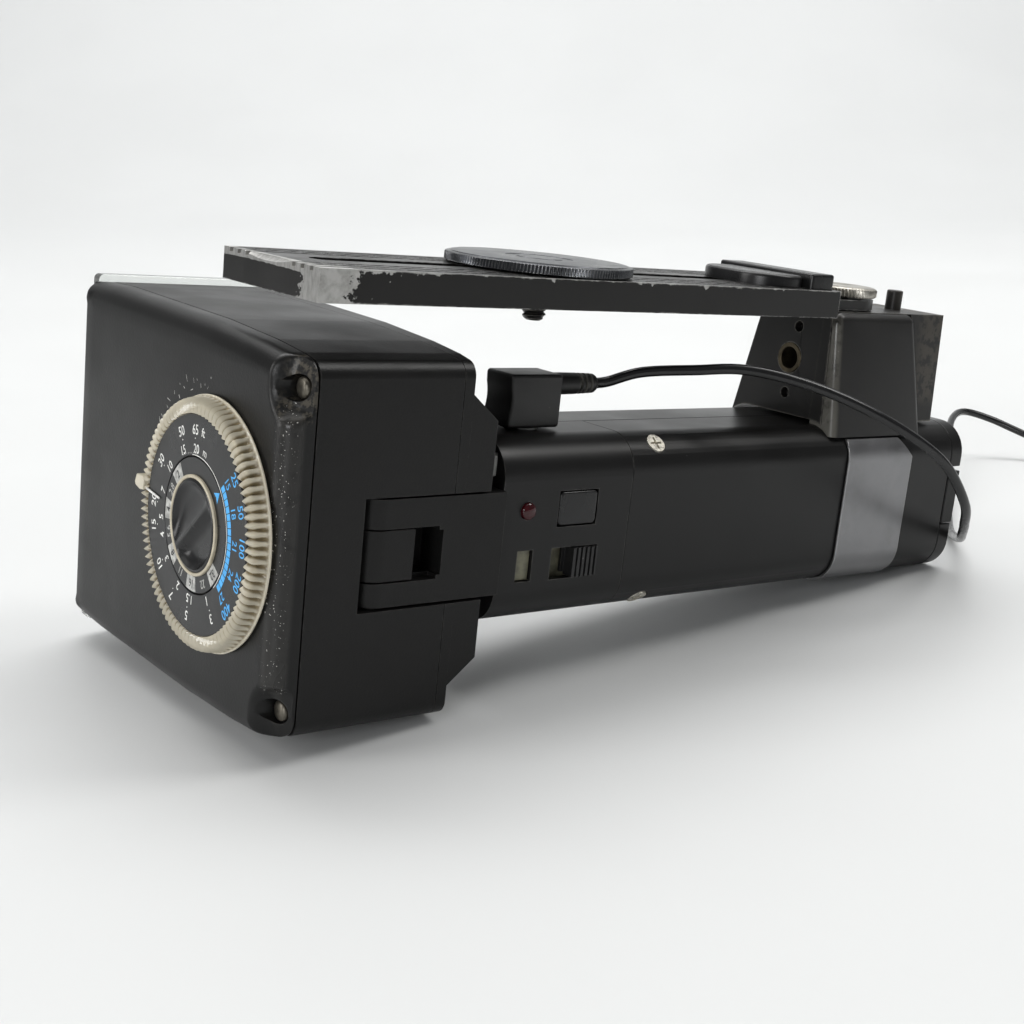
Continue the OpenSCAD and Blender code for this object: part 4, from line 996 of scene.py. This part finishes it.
def makeThread():
    s = threadSettings
    x, y = wheelSettings["camX"], wheelSettings["camY"]
    total = int(s["steps"] * (s["high"] - s["low"]) / s["pitch"])
    points = []
    for i in range(total + 1):
        a = 2 * pi * i / s["steps"]
        z = s["low"] + s["pitch"] * (i / s["steps"] - s["lead"])
        fade = min(1, (i + 4) / (s["steps"] * s["runIn"]))
        for along, out in s["profile"]:
            r = s["core"] + (s["radius"] - s["core"]) * out * fade
            height = min(s["high"], max(s["low"], z + along * s["pitch"]))
            points.append((x + r * cos(a), y + r * sin(a), height))
    faces = gridFaces(total + 1, len(s["profile"]), strip=True)
    makePiece("camera_screw_thread", points, faces, "screw", "thread", ("camera_screw",), sharp=25)
    low, core = s["low"] - s["tipDrop"], s["core"] + 0.02
    rows = [(0.01, low), (s["tip"], low), (core, low + s["tipHeight"]), (core, s["top"])]
    turned("camera_screw_core", rows, Matrix.Translation((x, y, 0)), "screw", "thread", steps=32)


makeWheels()
makeThread()
print("wheels turned")

# sync plug: worn box with a hollowed end on a round foot, and a relief grooved near its tip
plugSettings = dict(
    box=(64.5, 81.4, 24.6, 38.6, 1.0), low=15.0, high=26.5, edge=0.9, hollow=0.62,
    hollowZ=(35.3, 34.5, 33.5, 32.5, 31.6, 30.7, 29.7, 28.7, 27.9), hollowMiddle=31.6, hollowHalf=4.1,
    footAt=(73, 20.6, 24.36), foot=[(0.01, -3.6), (2.2, -3.6), (2.2, 0), (4.3, 0), (4.3, 1.6)],
    reliefAt=(80.5, 20.6, 35.3),
    relief=[(2.9, 0), (2.95, 4.0), (2.85, 9.3), (2.2, 9.5), (2.2, 10.0), (2.8, 10.2), (2.78, 11.0),
            (2.15, 11.2), (2.15, 11.7), (2.75, 11.9), (2.72, 12.7), (2.1, 12.9), (2.1, 13.4), (2.7, 13.6),
            (2.6, 15.0), (2.2, 15.7), (1.5, 15.9)])


def makePlug():
    s = plugSettings
    box = roundedBox(*s["box"])
    split = len(box) // 2
    dents = [s["hollow"] * (1 - ((z - s["hollowMiddle"]) / s["hollowHalf"]) ** 2) for z in s["hollowZ"]]
    waist = [(s["box"][0] + dent, z) for dent, z in zip(dents, s["hollowZ"])]
    outline = box[:split] + waist + box[split:]
    pillow("sync_plug_body", "sync_plug", "plug", outline, 1, s["low"], s["high"], s["edge"])
    turned("sync_plug_foot", s["foot"], facing(*s["footAt"], (0, 0, 1)), "handle", "plug",
           steps=40, sharp=40)
    turned("sync_relief", s["relief"], facing(*s["reliefAt"], (1, 0, 0)), "handle", "plug",
           steps=36, sharp=50)


# stop pieces on the plate, and the test button's cap
padSettings = dict(x=155, r=11, farY=27.7, nearY=18.7, cut=160, low=64.32, high=67.72, edge=1.1)
blockSettings = dict(box=(161, 170.5, 6.2, 43.7, 1.0), low=64.32, high=68.62, edge=0.8)
capSettings = dict(box=(73.9, 86.3, 1.75, 10.65, 1.3), low=2.0, high=6.2, edge=0.6)


def makePads():
    s = padSettings
    half = sqrt(s["r"] ** 2 - (s["cut"] - s["x"]) ** 2)
    near, far = s["nearY"] - half, s["farY"] + half
    line = arc(s["x"], s["farY"], s["r"], range(72, 181, 6))
    line += arc(s["x"], s["nearY"], s["r"], range(180, 289, 6))
    x = s["cut"]
    line += [(x - 0.5, near - 0.05), (x, near + 0.6), (x, far - 0.6), (x - 0.5, far + 0.05)]
    pillow("plate_pad_round", "plate_pad", "smooth", line, 2, s["low"], s["high"], s["edge"], True)
    s = blockSettings
    pillow("plate_block_soft", "plate_block", "smooth", roundedBox(*s["box"]), 2, s["low"], s["high"],
           s["edge"], True)
    s = capSettings
    pillow("test_button_cap", "test_button", "smooth", roundedBox(*s["box"]), 1, s["low"], s["high"],
           s["edge"])


# bracket cover: a pressed-on lid, round along its edges, its face leaning back towards the top
coverLidSettings = dict(
    left=176.5, rightLow=218.2, rightTop=212.6, low=21.4, high=57.7, corner=3.3, lowY=3.45, topY=7.9,
    backY=13.0, shoulder=2.6, insets=(0, 0.1, 0.3, 0.6, 1.0, 1.5, 2.05, 2.6))


def makeBracketCover():
    s = coverLidSettings
    c, r = s["corner"], s["shoulder"]
    under = s["high"] - c
    line = [(s["left"], s["low"] + (under - s["low"]) * i / 8) for i in range(9)]
    line += arc(s["left"] + c, under, c, range(165, 89, -15))
    line += arc(s["rightTop"] - c, under, c, range(90, -1, -15))
    line += [(s["rightTop"] + (s["rightLow"] - s["rightTop"]) * i / 8, under + (s["low"] - under) * i / 8)
             for i in range(1, 9)]
    n = len(line)
    points = [(x, s["backY"], z) for x, z in line]
    for inset in s["insets"]:
        drop = r - sqrt(max(0, r * r - (r - inset) ** 2))
        for i, (x, z) in enumerate(line):
            run = (Vector(line[min(n - 1, i + 1)]) - Vector(line[max(0, i - 1)])).normalized()
            x += run.y * inset
            z -= run.x * inset if 0 < i < n - 1 else 0
            lean = (s["topY"] - s["lowY"]) * (z - s["low"]) / (s["high"] - s["low"])
            points.append((x, s["lowY"] + lean + drop, z))
    starts = [k * n for k in range(len(s["insets"]) + 1)]
    faces = gridFaces(len(starts), n, strip=True) + endFaces(len(starts), n)
    faces.append(tuple(starts + [k + n - 1 for k in starts[::-1]]))
    makePiece("bracket_cover_lid", points, faces, "handle", "castLid",
              ("bracket_cover",), sharp=50)


makePlug()
makePads()
makeBracketCover()
print("plug, pads and bracket cover built")

# every other node: its own shape with broken edges; for long edges also their width and least length
dressing = dict(
    head_shell=("shell", 0.5), head_base_cover=("shell", 0.8), lens=("lensClear", 0.4),
    lens_frame=("smooth", 0.3), hinge_arm=("shell", 0.9), arm_catch=("catch", 0.3),
    tilt_release=("shell", 0.5), control_panel=("grip", 0.3), handle_front=("grip", 0.3),
    grip_back=("grip", 0.3),
    handle_screws=("screw", 0.25), ready_lamp=("redLamp", 0.1), check_window=("windowPlastic", 0.2),
    power_switch=("smooth", 0.2), switch_plate=("windowPlastic", 0.2), clamp_band=("band", 0.25),
    bracket_block=("cast", 0.2, 1.3, 20), socket_bush=("brass", 0.3), bracket_screws=("thread", 0.2),
    clamp_stud=("steel", 0.3), lock_pin=("cast", 0.5), screw_carriage=("steel", 0.3), base_cap=("grip", 0.4),
    cap_latch=("shell", 0.3))
for node, (look, edge, *long) in dressing.items():
    dressed(node, look, edge, 3 if edge > 0.6 else 2, long)

# nodes that nothing outside shows keep their shape
inner = dict(reflector="mirror", flash_tube="tubeGlass", tube_caps="steel", main_capacitor="can",
             head_board="board", trigger_coil="coil", hinge_pin="steel", control_board="board",
             sync_socket="steel", battery_basket="smooth", battery_cells="cell", battery_contacts="steel")
for node, look in inner.items():
    nodes[node].data.materials.clear()
    nodes[node].data.materials.append(finishes[look])
print("nodes dressed")

# pale floor that sweeps up behind, and soft light; lengths in metres
floorSettings = dict(heading=53, front=-5.0, back=2.2, sweep=0.9, high=3.6, wide=7.0, rounds=24)
lightSettings = dict(
    key=dict(place=(0.15, 0.35, 1.55), aim=(0.0, 0.05, 0.05), size=(2.2, 1.5), power=16,
             color=(1.0, 0.99, 0.97)),
    wall=dict(place=(0.75, 0.95, 2.7), aim=(1.35, 1.75, 0.75), size=(3.2, 1.2), power=58,
              color=(1.0, 1.0, 1.0)),
    front=dict(place=(-1.45, -0.85, 0.5), aim=(-0.05, -0.02, 0.08), size=(0.5, 0.6), power=8,
               color=(0.98, 0.99, 1.0)),
    over=dict(place=(0.95, -0.55, 1.25), aim=(0.0, 0.0, 0.06), size=(0.55, 0.55), power=7,
              color=(1.0, 0.99, 0.97)),
    side=dict(place=(-1.5, 0.5, 0.7), aim=(-0.1, 0.0, 0.06), size=(0.6, 1.2), power=11,
              color=(1.0, 0.99, 0.98)))
skySettings = dict(color=(0.93, 0.94, 0.95, 1), strength=0.18)


def makeFloor():
    s = floorSettings
    along, across = compass(s["heading"])
    profile = [(s["front"], 0), (s["back"] - s["sweep"], 0)]
    for i in range(1, s["rounds"] + 1):
        a = pi / 2 * i / s["rounds"]
        profile.append((s["back"] - s["sweep"] * (1 - sin(a)), s["sweep"] * (1 - cos(a))))
    profile.append((s["back"], s["high"]))
    edges = [across * side * s["wide"] for side in (-1, 1)]
    points = [along * d + edge + Vector((0, 0, h)) for d, h in profile for edge in edges]
    mesh = bpy.data.meshes.new("floor")
    mesh.from_pydata(points, [], gridFaces(len(profile), 2, strip=True))
    mesh.polygons.foreach_set("use_smooth", [True] * len(mesh.polygons))
    mesh.materials.append(finish("pale floor", (0.66, 0.67, 0.67), mottle=0.012, mottleSize=200))
    placed("floor", mesh)


def makeLights():
    for name, s in lightSettings.items():
        data = bpy.data.lights.new(name, "AREA")
        data.shape = "RECTANGLE"
        data.size, data.size_y = s["size"]
        data.energy = s["power"]
        data.color = s["color"]
        lamp = placed(name, data)
        lamp.location = s["place"]
        lamp.rotation_euler = (Vector(s["aim"]) - Vector(s["place"])).to_track_quat("-Z", "Y").to_euler()
    world = bpy.data.worlds.new("studio")
    bpy.context.scene.world = world
    world.use_nodes = True
    sky = world.node_tree.nodes["Background"]
    sky.inputs["Color"].default_value = skySettings["color"]
    sky.inputs["Strength"].default_value = skySettings["strength"]


makeFloor()
makeLights()
print("floor and lights placed")
